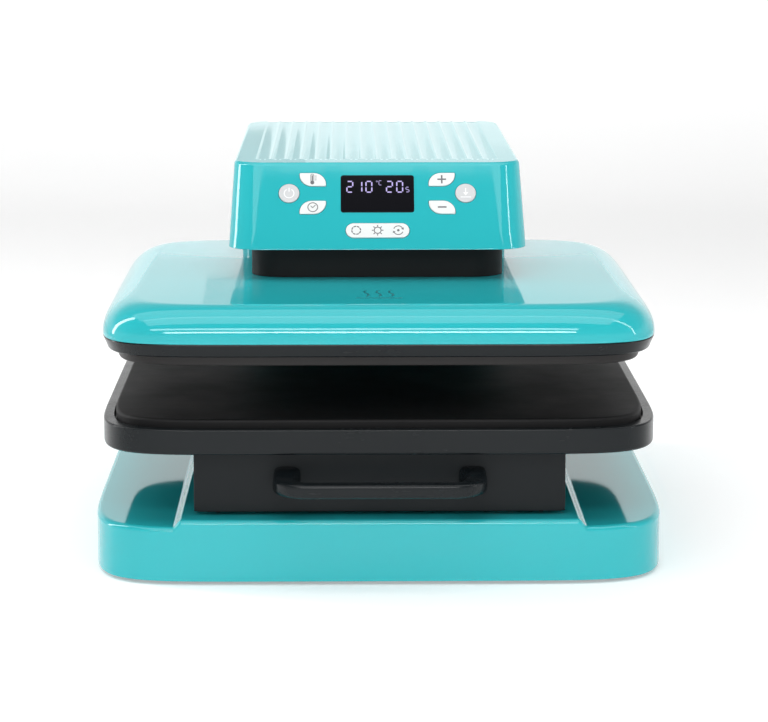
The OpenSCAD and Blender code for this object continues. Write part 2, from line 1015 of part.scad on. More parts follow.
module button_temperature() {
    key(-leaf_u, leaf_high_v) {
        leaf_key(1, 0);
        leaf_key(1, 0.8);
    }
}

module button_timer() {
    key(-leaf_u, leaf_low_v) {
        leaf_key(-1, 0);
        leaf_key(-1, 0.8);
    }
}

module button_plus() {
    key(leaf_u, leaf_high_v) {
        leaf_key(-1, 0);
        leaf_key(-1, 0.8);
    }
}

module button_minus() {
    key(leaf_u, leaf_low_v) {
        leaf_key(1, 0);
        leaf_key(1, 0.8);
    }
}

module button_mode() {
    key(0, mode_v) {
        mode_key(0);
        mode_key(0.8);
    }
}

module display_lens() {
    color("#0c0d10")
        on_panel(0, display_v)
            translate([0, 0, -wall - 0.2]) linear_extrude(wall + 0.2) display_plan(0);
}

module control_board() {
    board_w = 2 * round_u + round_d + 6;
    board_low = 11;
    board_high = leaf_high_v + 4;
    module_h = board_gap - 0.2;
    color("#1d6b3a")
        on_panel(0, (board_low + board_high) / 2)
            translate([0, 0, -wall - board_gap - board_t])
                linear_extrude(board_t)
                    square([board_w, board_high - board_low], center = true);
    color("#2b2d30")
        on_panel(0, display_v) translate([0, 0, -wall - board_gap])
            linear_extrude(module_h) square([display_w + 4, display_h + 2], center = true);
    color("#2b2d30")
        for (k = [[-round_u, round_v], [round_u, round_v], [-leaf_u, leaf_high_v],
                  [-leaf_u, leaf_low_v], [leaf_u, leaf_high_v], [leaf_u, leaf_low_v],
                  [0, mode_v]])
            on_panel(k.x, k.y) translate([0, 0, -wall - board_gap])
                linear_extrude(board_gap - key_flange - 1.7 - key_travel - 0.2)
                    square(5, center = true);
}

// ---------- Column and rear services ----------

seam_y = column_rear - head_r - 4;

module column_wall(height) {
    difference() {
        translate([0, column_y, deck_z]) round_slab(head_w, column_d, head_r, height);
        translate([0, column_y, deck_z - 1])
            round_slab(head_w - 2 * wall, column_d - 2 * wall, head_r - wall, height + 2);
    }
}

module column_cover() {
    color("#35c3c8")
        difference() {
            column_wall(head_z - deck_z);
            block([-head_w, seam_y, deck_z - 2], [head_w, rear_y + 9, head_z + 2]);
        }
}

module rear_cover() {
    slot_w = fan_size - 8;
    color("#35c3c8")
        difference() {
            column_wall(head_z - deck_z);
            block([-head_w, column_front - 9, deck_z - 2], [head_w, seam_y, head_z + 2]);
            block([inlet_x - inlet_w / 2, column_rear - 9, service_z - inlet_h / 2],
                [inlet_x + inlet_w / 2, column_rear + 9, service_z + inlet_h / 2]);
            block([switch_x - switch_w / 2, column_rear - 9, service_z - switch_h / 2],
                [switch_x + switch_w / 2, column_rear + 9, service_z + switch_h / 2]);
            for (k = [-4 : 4])
                block([-slot_w / 2, column_rear - 9, fan_z + 6 * k - 1.5],
                    [slot_w / 2, column_rear + 9, fan_z + 6 * k + 1.5]);
            for (x = [-head_w / 2 + 30, head_w / 2 - 30], z = [deck_z + 14, head_z - 14])
                translate([x, column_rear - 9, z]) rotate([-90, 0, 0]) cylinder(r = 2.2, h = 18);
        }
}

module power_board() {
    board_y = back_y + back_t;
    color("#1d6b3a")
        block([-80, board_y + 6, service_z + 20], [80, board_y + 7.6, head_z - 8]);
    color("#a9acae")
        block([48, board_y + 7.6, service_z + 30], [72, board_y + 24, service_z + 80]);
    color("#2d2f33")
        block([-74, board_y + 7.6, service_z + 30], [-44, board_y + 22, service_z + 56]);
    color("#2d2f33")
        for (x = [-70, 70], z = [service_z + 26, head_z - 14])
            translate([x, board_y, z]) rotate([-90, 0, 0]) cylinder(r = 3, h = 6);
}

module power_inlet() {
    flange_y = column_rear;
    color("#1c1d1f")
        translate([inlet_x, flange_y, service_z]) {
            difference() {
                union() {
                    block([-inlet_w / 2 - 4, 0, -inlet_h / 2 - 3],
                        [inlet_w / 2 + 4, 2, inlet_h / 2 + 3]);
                    block([-inlet_w / 2, -21, -inlet_h / 2], [inlet_w / 2, 0, inlet_h / 2]);
                }
                block([-12.2, -17, -8.2], [12.2, 3, 8.2]);
            }
        }
    color("#c9ccce")
        for (k = [[-7, -2], [0, 2], [7, -2]])
            translate([inlet_x + k.x, flange_y, service_z + k.y])
                block([-1, -17, -2], [1, -3, 2]);
}

rocker_tilt = 8;
rocker_w = switch_w - 4;
pivot_in = 3.5;

module switch_frame() {
    color("#1c1d1f")
        translate([switch_x, column_rear, service_z])
            difference() {
                union() {
                    block([-switch_w / 2 - 1.5, 0, -switch_h / 2 - 1.5],
                        [switch_w / 2 + 1.5, 1.5, switch_h / 2 + 1.5]);
                    block([-switch_w / 2, -16, -switch_h / 2], [switch_w / 2, 0, switch_h / 2]);
                }
                block([-rocker_w / 2 - 0.4, -11, -switch_h / 2 + 0.8],
                    [rocker_w / 2 + 0.4, 2, switch_h / 2 - 0.8]);
                translate([0, -pivot_in, 0]) rotate([0, 90, 0])
                    cylinder(r = 1 + run, h = rocker_w + 2.2, center = true);
            }
}

module switch_rocker() {
    color("#2a2c2e")
        translate([switch_x, column_rear - pivot_in, service_z])
            rotate([rocker_tilt, 0, 0]) {
                intersection() {
                    block([-rocker_w / 2, -4, -switch_h / 2 + 1],
                        [rocker_w / 2, 6, switch_h / 2 - 1]);
                    rotate([0, 90, 0]) cylinder(r = 5.2, h = switch_w, center = true);
                }
                rotate([0, 90, 0]) cylinder(r = 1, h = rocker_w + 2, center = true);
            }
}

fan_y = column_rear - wall - fan_t - 1;

module fan_frame() {
    color("#1c1d1f")
        translate([0, fan_y, fan_z]) {
            difference() {
                block([-fan_size / 2, 0, -fan_size / 2], [fan_size / 2, fan_t, fan_size / 2]);
                translate([0, -1, 0]) rotate([-90, 0, 0])
                    cylinder(r = fan_size / 2 - 2, h = fan_t + 2);
            }
            difference() {
                union() {
                    rotate([-90, 0, 0]) cylinder(r = 11, h = 2);
                    for (a = [45, 135])
                        rotate([0, a, 0])
                            block([-fan_size / 2, 0, -1.5], [fan_size / 2, 2, 1.5]);
                }
                translate([0, -1, 0]) rotate([-90, 0, 0]) cylinder(r = 1.5 + run, h = 4);
            }
        }
}

module fan_rotor() {
    blade_r = fan_size / 2 - 3;
    color("#2d2f33")
        translate([0, fan_y + 3, fan_z]) {
            rotate([-90, 0, 0]) cylinder(r = 11, h = fan_t - 4);
            translate([0, -2.5, 0]) rotate([-90, 0, 0]) cylinder(r = 1.5, h = 4);
            for (k = [0 : 6])
                rotate([0, 360 * k / 7, 0]) translate([0, (fan_t - 4) / 2, 0])
                    rotate([0, 0, 35])
                        block([-5.5, -0.8, 9], [5.5, 0.8, blade_r]);
        }
}

module rear_screws() {
    color("#c9ccce")
        for (x = [-head_w / 2 + 30, head_w / 2 - 30], z = [deck_z + 14, head_z - 14])
            translate([x, column_rear, z]) rotate([-90, 0, 0]) {
                translate([0, 0, -wall - 8]) cylinder(r = 2, h = wall + 8);
                cylinder(r = 4, h = 2);
            }
}

// ---------- Nodes ----------

feet();
base_pan();
pan_screws();
base_shell();
slide_support();
glide_strips();
slide_outer();
slide_middle();
slide_inner();
drawer_frame();
drawer_front();
handle();
handle_screws();
base_tray();
pad_plate();
silicone_pad();
tray_screws();
frame_side_left();
frame_side_right();
frame_arm_left();
frame_arm_right();
frame_back();
top_plate();
guide_housings();
linear_bushings();
bearing_housing();
screw_bearing();
lift_motor();
motor_pinion();
lift_screw();
screw_gear();
lift_nut();
nut_tube();
guide_rods();
carriage_plate();
platen_posts();
skirt();
inner_skirt();
platen_cover();
platen_frame();
insulation_board();
heating_plate();
heating_element();
thermostat();
head_cover();
head_underside();
column_cover();
rear_cover();
control_board();
display_lens();
button_power();
button_start();
button_temperature();
button_timer();
button_plus();
button_minus();
button_mode();
power_board();
power_inlet();
switch_frame();
switch_rocker();
fan_frame();
fan_rotor();
rear_screws();
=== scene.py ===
"""Dresses the drawer heat press: shells, keys, display and finishes round its solid frame."""

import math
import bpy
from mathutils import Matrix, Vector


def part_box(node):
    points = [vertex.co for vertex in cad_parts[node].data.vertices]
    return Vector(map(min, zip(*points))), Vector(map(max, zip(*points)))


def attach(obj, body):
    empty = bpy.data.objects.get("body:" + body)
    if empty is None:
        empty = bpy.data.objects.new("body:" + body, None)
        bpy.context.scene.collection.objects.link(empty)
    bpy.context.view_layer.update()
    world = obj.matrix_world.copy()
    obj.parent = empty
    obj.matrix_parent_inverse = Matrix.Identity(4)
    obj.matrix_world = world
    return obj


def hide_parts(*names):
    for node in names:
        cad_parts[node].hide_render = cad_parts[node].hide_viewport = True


bl_info = {
    "name": "Drawer heat press",
    "version": (1, 0, 0),
    "blender": (4, 5, 0),
    "location": "View3D > Sidebar > Heat press",
    "description": "Builds the visible pieces of a drawer heat press round its packed frame",
    "category": "Add Mesh",
}

import bpy
from bpy.props import FloatProperty, FloatVectorProperty, IntProperty, PointerProperty
from mathutils import Euler, Vector

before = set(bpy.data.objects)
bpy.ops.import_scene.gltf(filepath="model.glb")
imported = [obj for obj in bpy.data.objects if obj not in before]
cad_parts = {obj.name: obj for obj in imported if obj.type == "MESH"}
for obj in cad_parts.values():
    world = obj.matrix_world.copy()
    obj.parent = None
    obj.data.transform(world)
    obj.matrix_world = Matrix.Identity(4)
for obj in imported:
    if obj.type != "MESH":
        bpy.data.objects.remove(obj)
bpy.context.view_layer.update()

MM = 0.001

# Exponent of the soft-cornered plans: 2 is a circle, and more is squarer
FULLNESS = 8.4
# Exponent of a flute's hollow across its width: less is fuller
FLUTE_SHAPE = 0.62
# Steps round each upright corner of the head
CORNER_STEPS = 14
# How far the base's sloped step runs from the deck to a wing
STEP_RUN = 6.5 * MM
# How far the platen cover and the cover's inner edge reach under the skirt
SKIRT_LAP = 2.6 * MM

BASE_LOW, BASE_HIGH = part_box("base_shell")
TRAY_LOW, TRAY_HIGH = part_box("base_tray")
PAD_LOW, PAD_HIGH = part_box("silicone_pad")
PLATE_LOW, PLATE_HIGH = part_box("heating_plate")
BAND_LOW, BAND_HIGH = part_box("platen_frame")
DOME_LOW, DOME_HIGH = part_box("platen_cover")
SKIRT_LOW, SKIRT_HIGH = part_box("skirt")
HEAD_LOW, HEAD_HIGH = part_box("head_cover")
FRONT_LOW, FRONT_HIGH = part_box("drawer_front")
HANDLE_LOW, HANDLE_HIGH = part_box("handle")

# Where each key sits on the panel: across from the middle and up the slope, in millimetres
KEYS = {
    "power": (-67.0, 47.2),
    "start": (67.0, 47.2),
    "temperature": (-49.0, 58.7),
    "timer": (-49.0, 35.4),
    "plus": (49.0, 58.7),
    "minus": (49.0, 35.4),
    "mode": (0.0, 16.1),
}
DISPLAY_V = 46.8

# Sizes of the keys and the display on the panel, in millimetres
ROUND_KEY = 15.6
LEAF_KEY = (20.0, 11.0)
LEAF_TIP, LEAF_SWEEP = 0.9, 9.4
MODE_KEY = (48.0, 12.0)
DISPLAY = (55.6, 31.2)
DISPLAY_CORNER = 2.0
# Heights above the panel at which signs and digits lie, in millimetres
KEY_FACE = 0.575
GLASS_FACE = 0.065
# Kept off a corner's radius that is half its key's height, so that no two points meet
TINY = 1e-6


# ---------- Settings ----------


class PressSizes(bpy.types.PropertyGroup):
    """Sizes of the press's visible details."""

    panel_lean: FloatProperty(
        name="Panel lean", description="Angle of the control panel back from upright",
        default=math.radians(32), subtype="ANGLE", unit="ROTATION")
    side_draft: FloatProperty(
        name="Side draft", description="How far each side of the head leans in over its height",
        default=3.4 * MM, subtype="DISTANCE", unit="LENGTH")
    head_corner: FloatProperty(
        name="Head corner", description="Radius of the head's upright corners",
        default=24 * MM, subtype="DISTANCE", unit="LENGTH")
    head_edge: FloatProperty(
        name="Head edge", description="Rounding of the head's top edge",
        default=2.4 * MM, subtype="DISTANCE", unit="LENGTH")
    flute_count: IntProperty(
        name="Flutes", description="Number of flutes along the head's top", default=16)
    flute_pitch: FloatProperty(
        name="Flute pitch", description="Distance from one flute to the next",
        default=11.7 * MM, subtype="DISTANCE", unit="LENGTH")
    flute_depth: FloatProperty(
        name="Flute depth", description="Depth of a flute",
        default=1.4 * MM, subtype="DISTANCE", unit="LENGTH")
    flute_setback: FloatProperty(
        name="Flute setback", description="Where the flutes start, behind the panel's top edge",
        default=27 * MM, subtype="DISTANCE", unit="LENGTH")
    base_edge: FloatProperty(
        name="Base edge", description="Rounding of the base's top edge",
        default=4 * MM, subtype="DISTANCE", unit="LENGTH")
    deck_width: FloatProperty(
        name="Deck width", description="Width of the raised middle of the base",
        default=285 * MM, subtype="DISTANCE", unit="LENGTH")
    deck_step: FloatProperty(
        name="Deck step", description="Height of the raised middle above the side wings",
        default=5.5 * MM, subtype="DISTANCE", unit="LENGTH")
    dome_roll: FloatProperty(
        name="Dome roll", description="How far the platen cover's edge rolls over",
        default=27 * MM, subtype="DISTANCE", unit="LENGTH")
    dome_crown: FloatProperty(
        name="Dome crown", description="Rise of the platen cover's top from its edge to its middle",
        default=1.6 * MM, subtype="DISTANCE", unit="LENGTH")
    handle_arm: FloatProperty(
        name="Handle arm", description="Width of the handle's arms",
        default=15.5 * MM, subtype="DISTANCE", unit="LENGTH")
    key_gap: FloatProperty(
        name="Key gap", description="Gap round each key",
        default=0.4 * MM, subtype="DISTANCE", unit="LENGTH")


class PressColours(bpy.types.PropertyGroup):
    """Colours of the press's finishes."""

    shell: FloatVectorProperty(
        name="Shell", description="Glossy turquoise of the shells", subtype="COLOR",
        size=3, min=0, max=1, default=(0.022, 0.44, 0.48))
    black: FloatVectorProperty(
        name="Black", description="Satin black of the tray and the platen frame",
        subtype="COLOR", size=3, min=0, max=1, default=(0.006, 0.0085, 0.0100))
    pad: FloatVectorProperty(
        name="Pad", description="Silicone pad", subtype="COLOR",
        size=3, min=0, max=1, default=(0.004, 0.004, 0.0045))
    hot_plate: FloatVectorProperty(
        name="Heated plate", description="Dark coating of the heated plate",
        subtype="COLOR", size=3, min=0, max=1, default=(0.018, 0.017, 0.017))
    keys: FloatVectorProperty(
        name="Keys", description="Pale grey of the keys", subtype="COLOR",
        size=3, min=0, max=1, default=(0.67, 0.66, 0.68))
    ink: FloatVectorProperty(
        name="Key ink", description="Grey of the signs on the keys", subtype="COLOR",
        size=3, min=0, max=1, default=(0.12, 0.12, 0.13))
    digits: FloatVectorProperty(
        name="Digits", description="Glow of the display's digits", subtype="COLOR",
        size=3, min=0, max=1, default=(0.56, 0.47, 0.9))


def sizes():
    return bpy.context.scene.press_sizes


def colours():
    return bpy.context.scene.press_colours


# ---------- Finishes ----------


def wire(tree, source, output, target, socket):
    tree.links.new(source.outputs[output], target.inputs[socket])


def new_group(name, inputs, outputs):
    """An empty shader group with its sockets, and its input and output nodes."""
    group = bpy.data.node_groups.new(name, "ShaderNodeTree")
    for label, kind, value in inputs:
        socket = group.interface.new_socket(label, in_out="INPUT", socket_type=kind)
        socket.default_value = value
    for label, kind in outputs:
        group.interface.new_socket(label, in_out="OUTPUT", socket_type=kind)
    return group, group.nodes.new("NodeGroupInput"), group.nodes.new("NodeGroupOutput")


def tone_group():
    """Colour that drifts a little over the surface, as moulded or sprayed colour does."""
    group, given, result = new_group(
        "tone_drift",
        [("Colour", "NodeSocketColor", (0.5, 0.5, 0.5, 1)), ("Amount", "NodeSocketFloat", 0.08),
         ("Scale", "NodeSocketFloat", 9.0)],
        [("Colour", "NodeSocketColor")])
    place = group.nodes.new("ShaderNodeTexCoord")
    noise = group.nodes.new("ShaderNodeTexNoise")
    noise.inputs["Detail"].default_value = 3
    centred = group.nodes.new("ShaderNodeMath")
    centred.operation = "SUBTRACT"
    centred.inputs[1].default_value = 0.5
    scaled = group.nodes.new("ShaderNodeMath")
    scaled.operation = "MULTIPLY_ADD"
    scaled.inputs[2].default_value = 1.0
    tint = group.nodes.new("ShaderNodeHueSaturation")
    wire(group, place, "Object", noise, "Vector")
    wire(group, given, "Scale", noise, "Scale")
    wire(group, noise, "Fac", centred, 0)
    wire(group, centred, "Value", scaled, 0)
    wire(group, given, "Amount", scaled, 1)
    wire(group, scaled, "Value", tint, "Value")
    wire(group, given, "Colour", tint, "Color")
    wire(group, tint, "Color", result, "Colour")
    return group


def smudge_group():
    """Roughness that varies with faint handling smears and fine wipe marks."""
    group, given, result = new_group(
        "handling_smears",
        [("Low", "NodeSocketFloat", 0.2), ("High", "NodeSocketFloat", 0.3),
         ("Scale", "NodeSocketFloat", 14.0)],
        [("Roughness", "NodeSocketFloat")])
    place = group.nodes.new("ShaderNodeTexCoord")
    broad = group.nodes.new("ShaderNodeTexNoise")
    broad.inputs["Detail"].default_value = 5
    broad.inputs["Roughness"].default_value = 0.62
    stretch = group.nodes.new("ShaderNodeMapping")
    stretch.inputs["Scale"].default_value = (60, 900, 400)
    wipes = group.nodes.new("ShaderNodeTexNoise")
    wipes.inputs["Scale"].default_value = 1.0
    both = group.nodes.new("ShaderNodeMath")
    both.operation = "MULTIPLY_ADD"
    both.inputs[1].default_value = 0.25
    spread = group.nodes.new("ShaderNodeMapRange")
    spread.inputs["From Min"].default_value = 0.42
    spread.inputs["From Max"].default_value = 0.86
    wire(group, place, "Object", broad, "Vector")
    wire(group, given, "Scale", broad, "Scale")
    wire(group, place, "Object", stretch, "Vector")
    wire(group, stretch, "Vector", wipes, "Vector")
    wire(group, wipes, "Fac", both, 0)
    wire(group, broad, "Fac", both, 2)
    wire(group, both, "Value", spread, "Value")
    wire(group, given, "Low", spread, "To Min")
    wire(group, given, "High", spread, "To Max")
    wire(group, spread, "Result", result, "Roughness")
    return group


def grain_group():
    """Height of a fine moulded or sprayed grain, with a slow ripple under it."""
    group, given, result = new_group(
        "surface_grain",
        [("Grain", "NodeSocketFloat", 900.0), ("Ripple", "NodeSocketFloat", 60.0),
         ("Ripple amount", "NodeSocketFloat", 0.5)],
        [("Height", "NodeSocketFloat")])
    place = group.nodes.new("ShaderNodeTexCoord")
    fine = group.nodes.new("ShaderNodeTexNoise")
    fine.inputs["Detail"].default_value = 2
    slow = group.nodes.new("ShaderNodeTexNoise")
    slow.inputs["Detail"].default_value = 1
    total = group.nodes.new("ShaderNodeMath")
    total.operation = "MULTIPLY_ADD"
    for noise, label in ((fine, "Grain"), (slow, "Ripple")):
        wire(group, place, "Object", noise, "Vector")
        wire(group, given, label, noise, "Scale")
    wire(group, slow, "Fac", total, 0)
    wire(group, given, "Ripple amount", total, 1)
    wire(group, fine, "Fac", total, 2)
    wire(group, total, "Value", result, "Height")
    return group


def dust_group():
    """Mask of light dust that gathers on upward faces, broken up by noise."""
    group, given, result = new_group(
        "settled_dust",
        [("Amount", "NodeSocketFloat", 0.2), ("Scale", "NodeSocketFloat", 120.0)],
        [("Mask", "NodeSocketFloat")])
    shape = group.nodes.new("ShaderNodeNewGeometry")
    split = group.nodes.new("ShaderNodeSeparateXYZ")
    place = group.nodes.new("ShaderNodeTexCoord")
    specks = group.nodes.new("ShaderNodeTexNoise")
    specks.inputs["Detail"].default_value = 6
    upward = group.nodes.new("ShaderNodeMapRange")
    upward.inputs["From Min"].default_value = 0.6
    broken = group.nodes.new("ShaderNodeMapRange")
    broken.inputs["From Min"].default_value = 0.45
    broken.inputs["From Max"].default_value = 0.75
    both = group.nodes.new("ShaderNodeMath")
    both.operation = "MULTIPLY"
    amount = group.nodes.new("ShaderNodeMath")
    amount.operation = "MULTIPLY"
    wire(group, shape, "Normal", split, "Vector")
    wire(group, split, "Z", upward, "Value")
    wire(group, place, "Object", specks, "Vector")
    wire(group, given, "Scale", specks, "Scale")
    wire(group, specks, "Fac", broken, "Value")
    wire(group, upward, "Result", both, 0)
    wire(group, broken, "Result", both, 1)
    wire(group, both, "Value", amount, 0)
    wire(group, given, "Amount", amount, 1)
    wire(group, amount, "Value", result, "Mask")
    return group


def shared_group(name, maker):
    return bpy.data.node_groups.get(name) or maker()


def place_group(tree, name, maker, **values):
    node = tree.nodes.new("ShaderNodeGroup")
    node.node_tree = shared_group(name, maker)
    for label, value in values.items():
        node.inputs[label.replace("_", " ")].default_value = value
    return node


def finish(name, colour, rough=(0.3, 0.4), metallic=0.0, coat=0.0, coat_rough=0.1, ior=1.5,
           drift=0.06, drift_scale=9.0, grain=900.0, ripple=60.0, bump=0.02, bump_depth=0.0002,
           dust=0.0):
    """A finish of one base colour with drift, smears, grain and, where asked for, dust."""
    known = bpy.data.materials.get(name)
    if known:
        return known
    material = bpy.data.materials.new(name)
    material.use_nodes = True
    tree = material.node_tree
    shader = tree.nodes["Principled BSDF"]
    shader.inputs["Metallic"].default_value = metallic
    shader.inputs["IOR"].default_value = ior
    shader.inputs["Coat Weight"].default_value = coat
    shader.inputs["Coat Roughness"].default_value = coat_rough
    tone = place_group(tree, "tone_drift", tone_group, Colour=(*colour, 1), Amount=drift,
                       Scale=drift_scale)
    smears = place_group(tree, "handling_smears", smudge_group, Low=rough[0], High=rough[1])
    height = place_group(tree, "surface_grain", grain_group, Grain=grain, Ripple=ripple)
    relief = tree.nodes.new("ShaderNodeBump")
    relief.inputs["Strength"].default_value = bump
    relief.inputs["Distance"].default_value = bump_depth
    wire(tree, height, "Height", relief, "Height")
    wire(tree, relief, "Normal", shader, "Normal")
    wire(tree, smears, "Roughness", shader, "Roughness")
    if dust:
        mask = place_group(tree, "settled_dust", dust_group, Amount=dust)
        blend = tree.nodes.new("ShaderNodeMix")
        blend.data_type = "RGBA"
        clean, dusty, blended = 6, 7, 2
        wire(tree, mask, "Mask", blend, "Factor")
        wire(tree, tone, "Colour", blend, clean)
        wire(tree, blend, blended, shader, "Base Color")
        blend.inputs[dusty].default_value = (0.42, 0.41, 0.4, 1)
    else:
        wire(tree, tone, "Colour", shader, "Base Color")
    return material


def glow(name, colour, strength):
    """Lit segments: an even glow with a faint flicker of brightness across them."""
    known = bpy.data.materials.get(name)
    if known:
        return known
    material = finish(name, (0.02, 0.02, 0.03), rough=(0.4, 0.5))
    tree = material.node_tree
    shader = tree.nodes["Principled BSDF"]
    tone = place_group(tree, "tone_drift", tone_group, Colour=(*colour, 1), Amount=0.1,
                       Scale=300.0)
    wire(tree, tone, "Colour", shader, "Emission Color")
    shader.inputs["Emission Strength"].default_value = strength
    return material


def shell_gloss():
    return finish("shell_gloss", colours().shell, rough=(0.03, 0.07),
                  drift=0.05, drift_scale=4, ripple=45, bump=0.025, bump_depth=0.0001)


def black_satin():
    return finish("black_satin", colours().black, rough=(0.22, 0.3), ior=1.33, drift=0.12,
                  grain=1400, bump=0.12, bump_depth=0.0001, dust=0.015)


def black_moulding():
    return finish("black_moulding", colours().black, rough=(0.36, 0.48), ior=1.3, drift=0.12,
                  grain=1600, bump=0.2, bump_depth=0.00012, dust=0.015)


def underside_painted_shade():
    """Matte black with next to no shine, for faces that look down: a shaded copy of the satin
    black, as painted shade.
    """
    return finish("underside_painted_shade", colours().black, rough=(0.8, 0.9), ior=1.03, grain=1600,
                  bump=0.1, bump_depth=0.0001)


def skirt_black():
    return finish("skirt_black", (0.004, 0.0045, 0.005), rough=(0.45, 0.58), ior=1.28,
                  grain=1800, bump=0.25, bump_depth=0.00012, dust=0.01)


def pad_silicone():
    return finish("pad_silicone", colours().pad, rough=(0.5, 0.62), ior=1.3, drift=0.15,
                  grain=1100, ripple=300, bump=0.35, bump_depth=0.00025, dust=0.004)


def hot_plate_coating():
    return finish("hot_plate_coating", colours().hot_plate, rough=(0.34, 0.46), ior=1.35,
                  drift=0.2, drift_scale=16, grain=1500, bump=0.15, bump_depth=0.0001)


def key_plastic():
    return finish("key_plastic", colours().keys, rough=(0.3, 0.38), coat=0.15, coat_rough=0.2,
                  drift=0.03, grain=2200, bump=0.06, bump_depth=0.00005)


def round_key_plastic():
    """The round keys' plastic, a little greyer than the others'."""
    return finish("round_key_plastic", (0.6, 0.6, 0.61), rough=(0.3, 0.38), coat=0.15,
                  coat_rough=0.2, drift=0.03, grain=2200, bump=0.06, bump_depth=0.00005)


def white_ink():
    return finish("white_ink", (0.85, 0.85, 0.86), rough=(0.35, 0.45), drift=0.03, grain=2500)


def key_ink():
    return finish("key_ink", colours().ink, rough=(0.4, 0.5), drift=0.1, grain=2500)


def dark_glass():
    return finish("dark_glass", (0.003, 0.003, 0.005), rough=(0.03, 0.07), ior=1.4, drift=0.2,
                  grain=300, ripple=30, bump=0.01, bump_depth=0.00005)


# ---------- Shapes ----------


def power(value, exponent):
    return math.copysign(abs(value) ** exponent, value)


def ease(t):
    return t * t * (3 - 2 * t)


def soft_outline(half_w, half_d, middle_y, steps=176):
    """A square plan with soft corners and slightly full sides."""
    points = []
    for i in range(steps):
        turn = 2 * math.pi * i / steps
        points.append((half_w * power(math.cos(turn), 2 / FULLNESS),
                       middle_y + half_d * power(math.sin(turn), 2 / FULLNESS)))
    return points


def corner_outline(width, height, radii, steps=12):
    """A rectangle about the origin with its own radius at each corner, from top right round."""
    points = []
    corners = ((1, 1, 0), (-1, 1, 90), (-1, -1, 180), (1, -1, 270))
    for (sx, sy, start), radius in zip(corners, radii):
        cx = sx * (width / 2 - radius)
        cy = sy * (height / 2 - radius)
        for k in range(steps + 1):
            turn = math.radians(start + 90 * k / steps)
            points.append((cx + radius * math.cos(turn), cy + radius * math.sin(turn)))
    return points


def new_object(name, vertices, faces):
    mesh = bpy.data.meshes.new(name)
    mesh.from_pydata([tuple(v) for v in vertices], [], faces)
    mesh.validate()
    mesh.update()
    piece = bpy.data.objects.new(name, mesh)
    bpy.context.scene.collection.objects.link(piece)
    return piece


def bridge(count, start_a, start_b):
    """Quads between two closed rings of vertices."""
    return [(start_a + i, start_a + (i + 1) % count, start_b + (i + 1) % count, start_b + i)
            for i in range(count)]


def skin(rings, capped=True):
    """Vertices and quads of closed rings of equal count, with the first ring capped."""
    count = len(rings[0])
    vertices = [v for ring in rings for v in ring]
    faces = []
    for k in range(len(rings) - 1):
        faces += bridge(count, k * count, (k + 1) * count)
    if capped:
        faces.append(tuple(reversed(range(count))))
    return vertices, faces


def from_rings(name, rings, capped=True):
    """A skin through closed rings of equal count, counterclockwise seen from the last one."""
    vertices, faces = skin(rings, capped)
    if capped:
        faces.append(tuple(range(len(vertices) - len(rings[0]), len(vertices))))
    return new_object(name, vertices, faces)


def rounding(radius, steps=6):
    """Insets and rises of a quarter round that starts upright and ends flat."""
    return [(radius * (1 - math.cos(math.pi / 2 * k / steps)),
             radius * math.sin(math.pi / 2 * k / steps)) for k in range(steps + 1)]


def plan_of(low, high):
    """Half the width of a box, and the middle of its depth."""
    return (high.x - low.x) / 2, (low.y + high.y) / 2


def soft_rings(half, middle_y, steps):
    """Rings of a square plan with soft corners, one for each inset and height."""
    return [[(x, y, z) for x, y in soft_outline(half - inset, half - inset, middle_y)]
            for inset, z in steps]


def dress(piece, material, body, replaced=(), crease=32):
    """Smooths the piece's shading, gives it its finish, and fixes it to its body."""
    piece.data.materials.clear()
    piece.data.materials.append(material)
    for face in piece.data.polygons:
        face.use_smooth = True
    split = piece.modifiers.new("sharp_edges", "EDGE_SPLIT")
    split.split_angle = math.radians(crease)
    weight = piece.modifiers.new("even_shading", "WEIGHTED_NORMAL")
    weight.mode = "FACE_AREA"
    weight.keep_sharp = True
    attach(piece, body)
    if replaced:
        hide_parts(*replaced)


# ---------- Base ----------


def deck_rise(x):
    """Height above the side wings at x: flat deck, sloped step, flat wing."""
    past = sizes().deck_width / 2 + STEP_RUN - abs(x)
    return sizes().deck_step * ease(min(1.0, max(0.0, past / STEP_RUN)))


def base_columns():
    """Places across the front where the plan is nearly straight, close together at the step."""
    half = sizes().deck_width / 2
    near = [half + STEP_RUN * k / 10 for k in range(-1, 12)]
    places = [0, 0.03, 0.06, 0.09, 0.115, 0.13] + near + [half + 11 * MM, half + 15 * MM]
    return sorted({-x for x in places} | set(places))


def base_ring(inset, z, follow):
    """One ring of the base: along the front, round the right, along the rear, round the left."""
    half_w = (BASE_HIGH.x - BASE_LOW.x) / 2 - inset
    half_d = (BASE_HIGH.y - BASE_LOW.y) / 2 - inset
    middle = (BASE_HIGH.y + BASE_LOW.y) / 2
    columns = base_columns()
    edge = columns[-1]
    start = math.acos((edge / half_w) ** (FULLNESS / 2))
    steps = 44
    side = []
    for k in range(1, steps):
        turn = start * (1 - k / (steps / 2))
        side.append((half_w * power(math.cos(turn), 2 / FULLNESS),
                     half_d * power(math.sin(turn), 2 / FULLNESS)))
    plan = [(x, -half_d * (1 - abs(x / half_w) ** FULLNESS) ** (1 / FULLNESS))
            for x in columns]
    plan += [(x, -y) for x, y in side]
    plan += [(x, -y) for x, y in reversed(plan[:len(columns)])]
    plan += [(-x, y) for x, y in side]
    return [(x, middle + y, z + follow * deck_rise(x)) for x, y in plan]


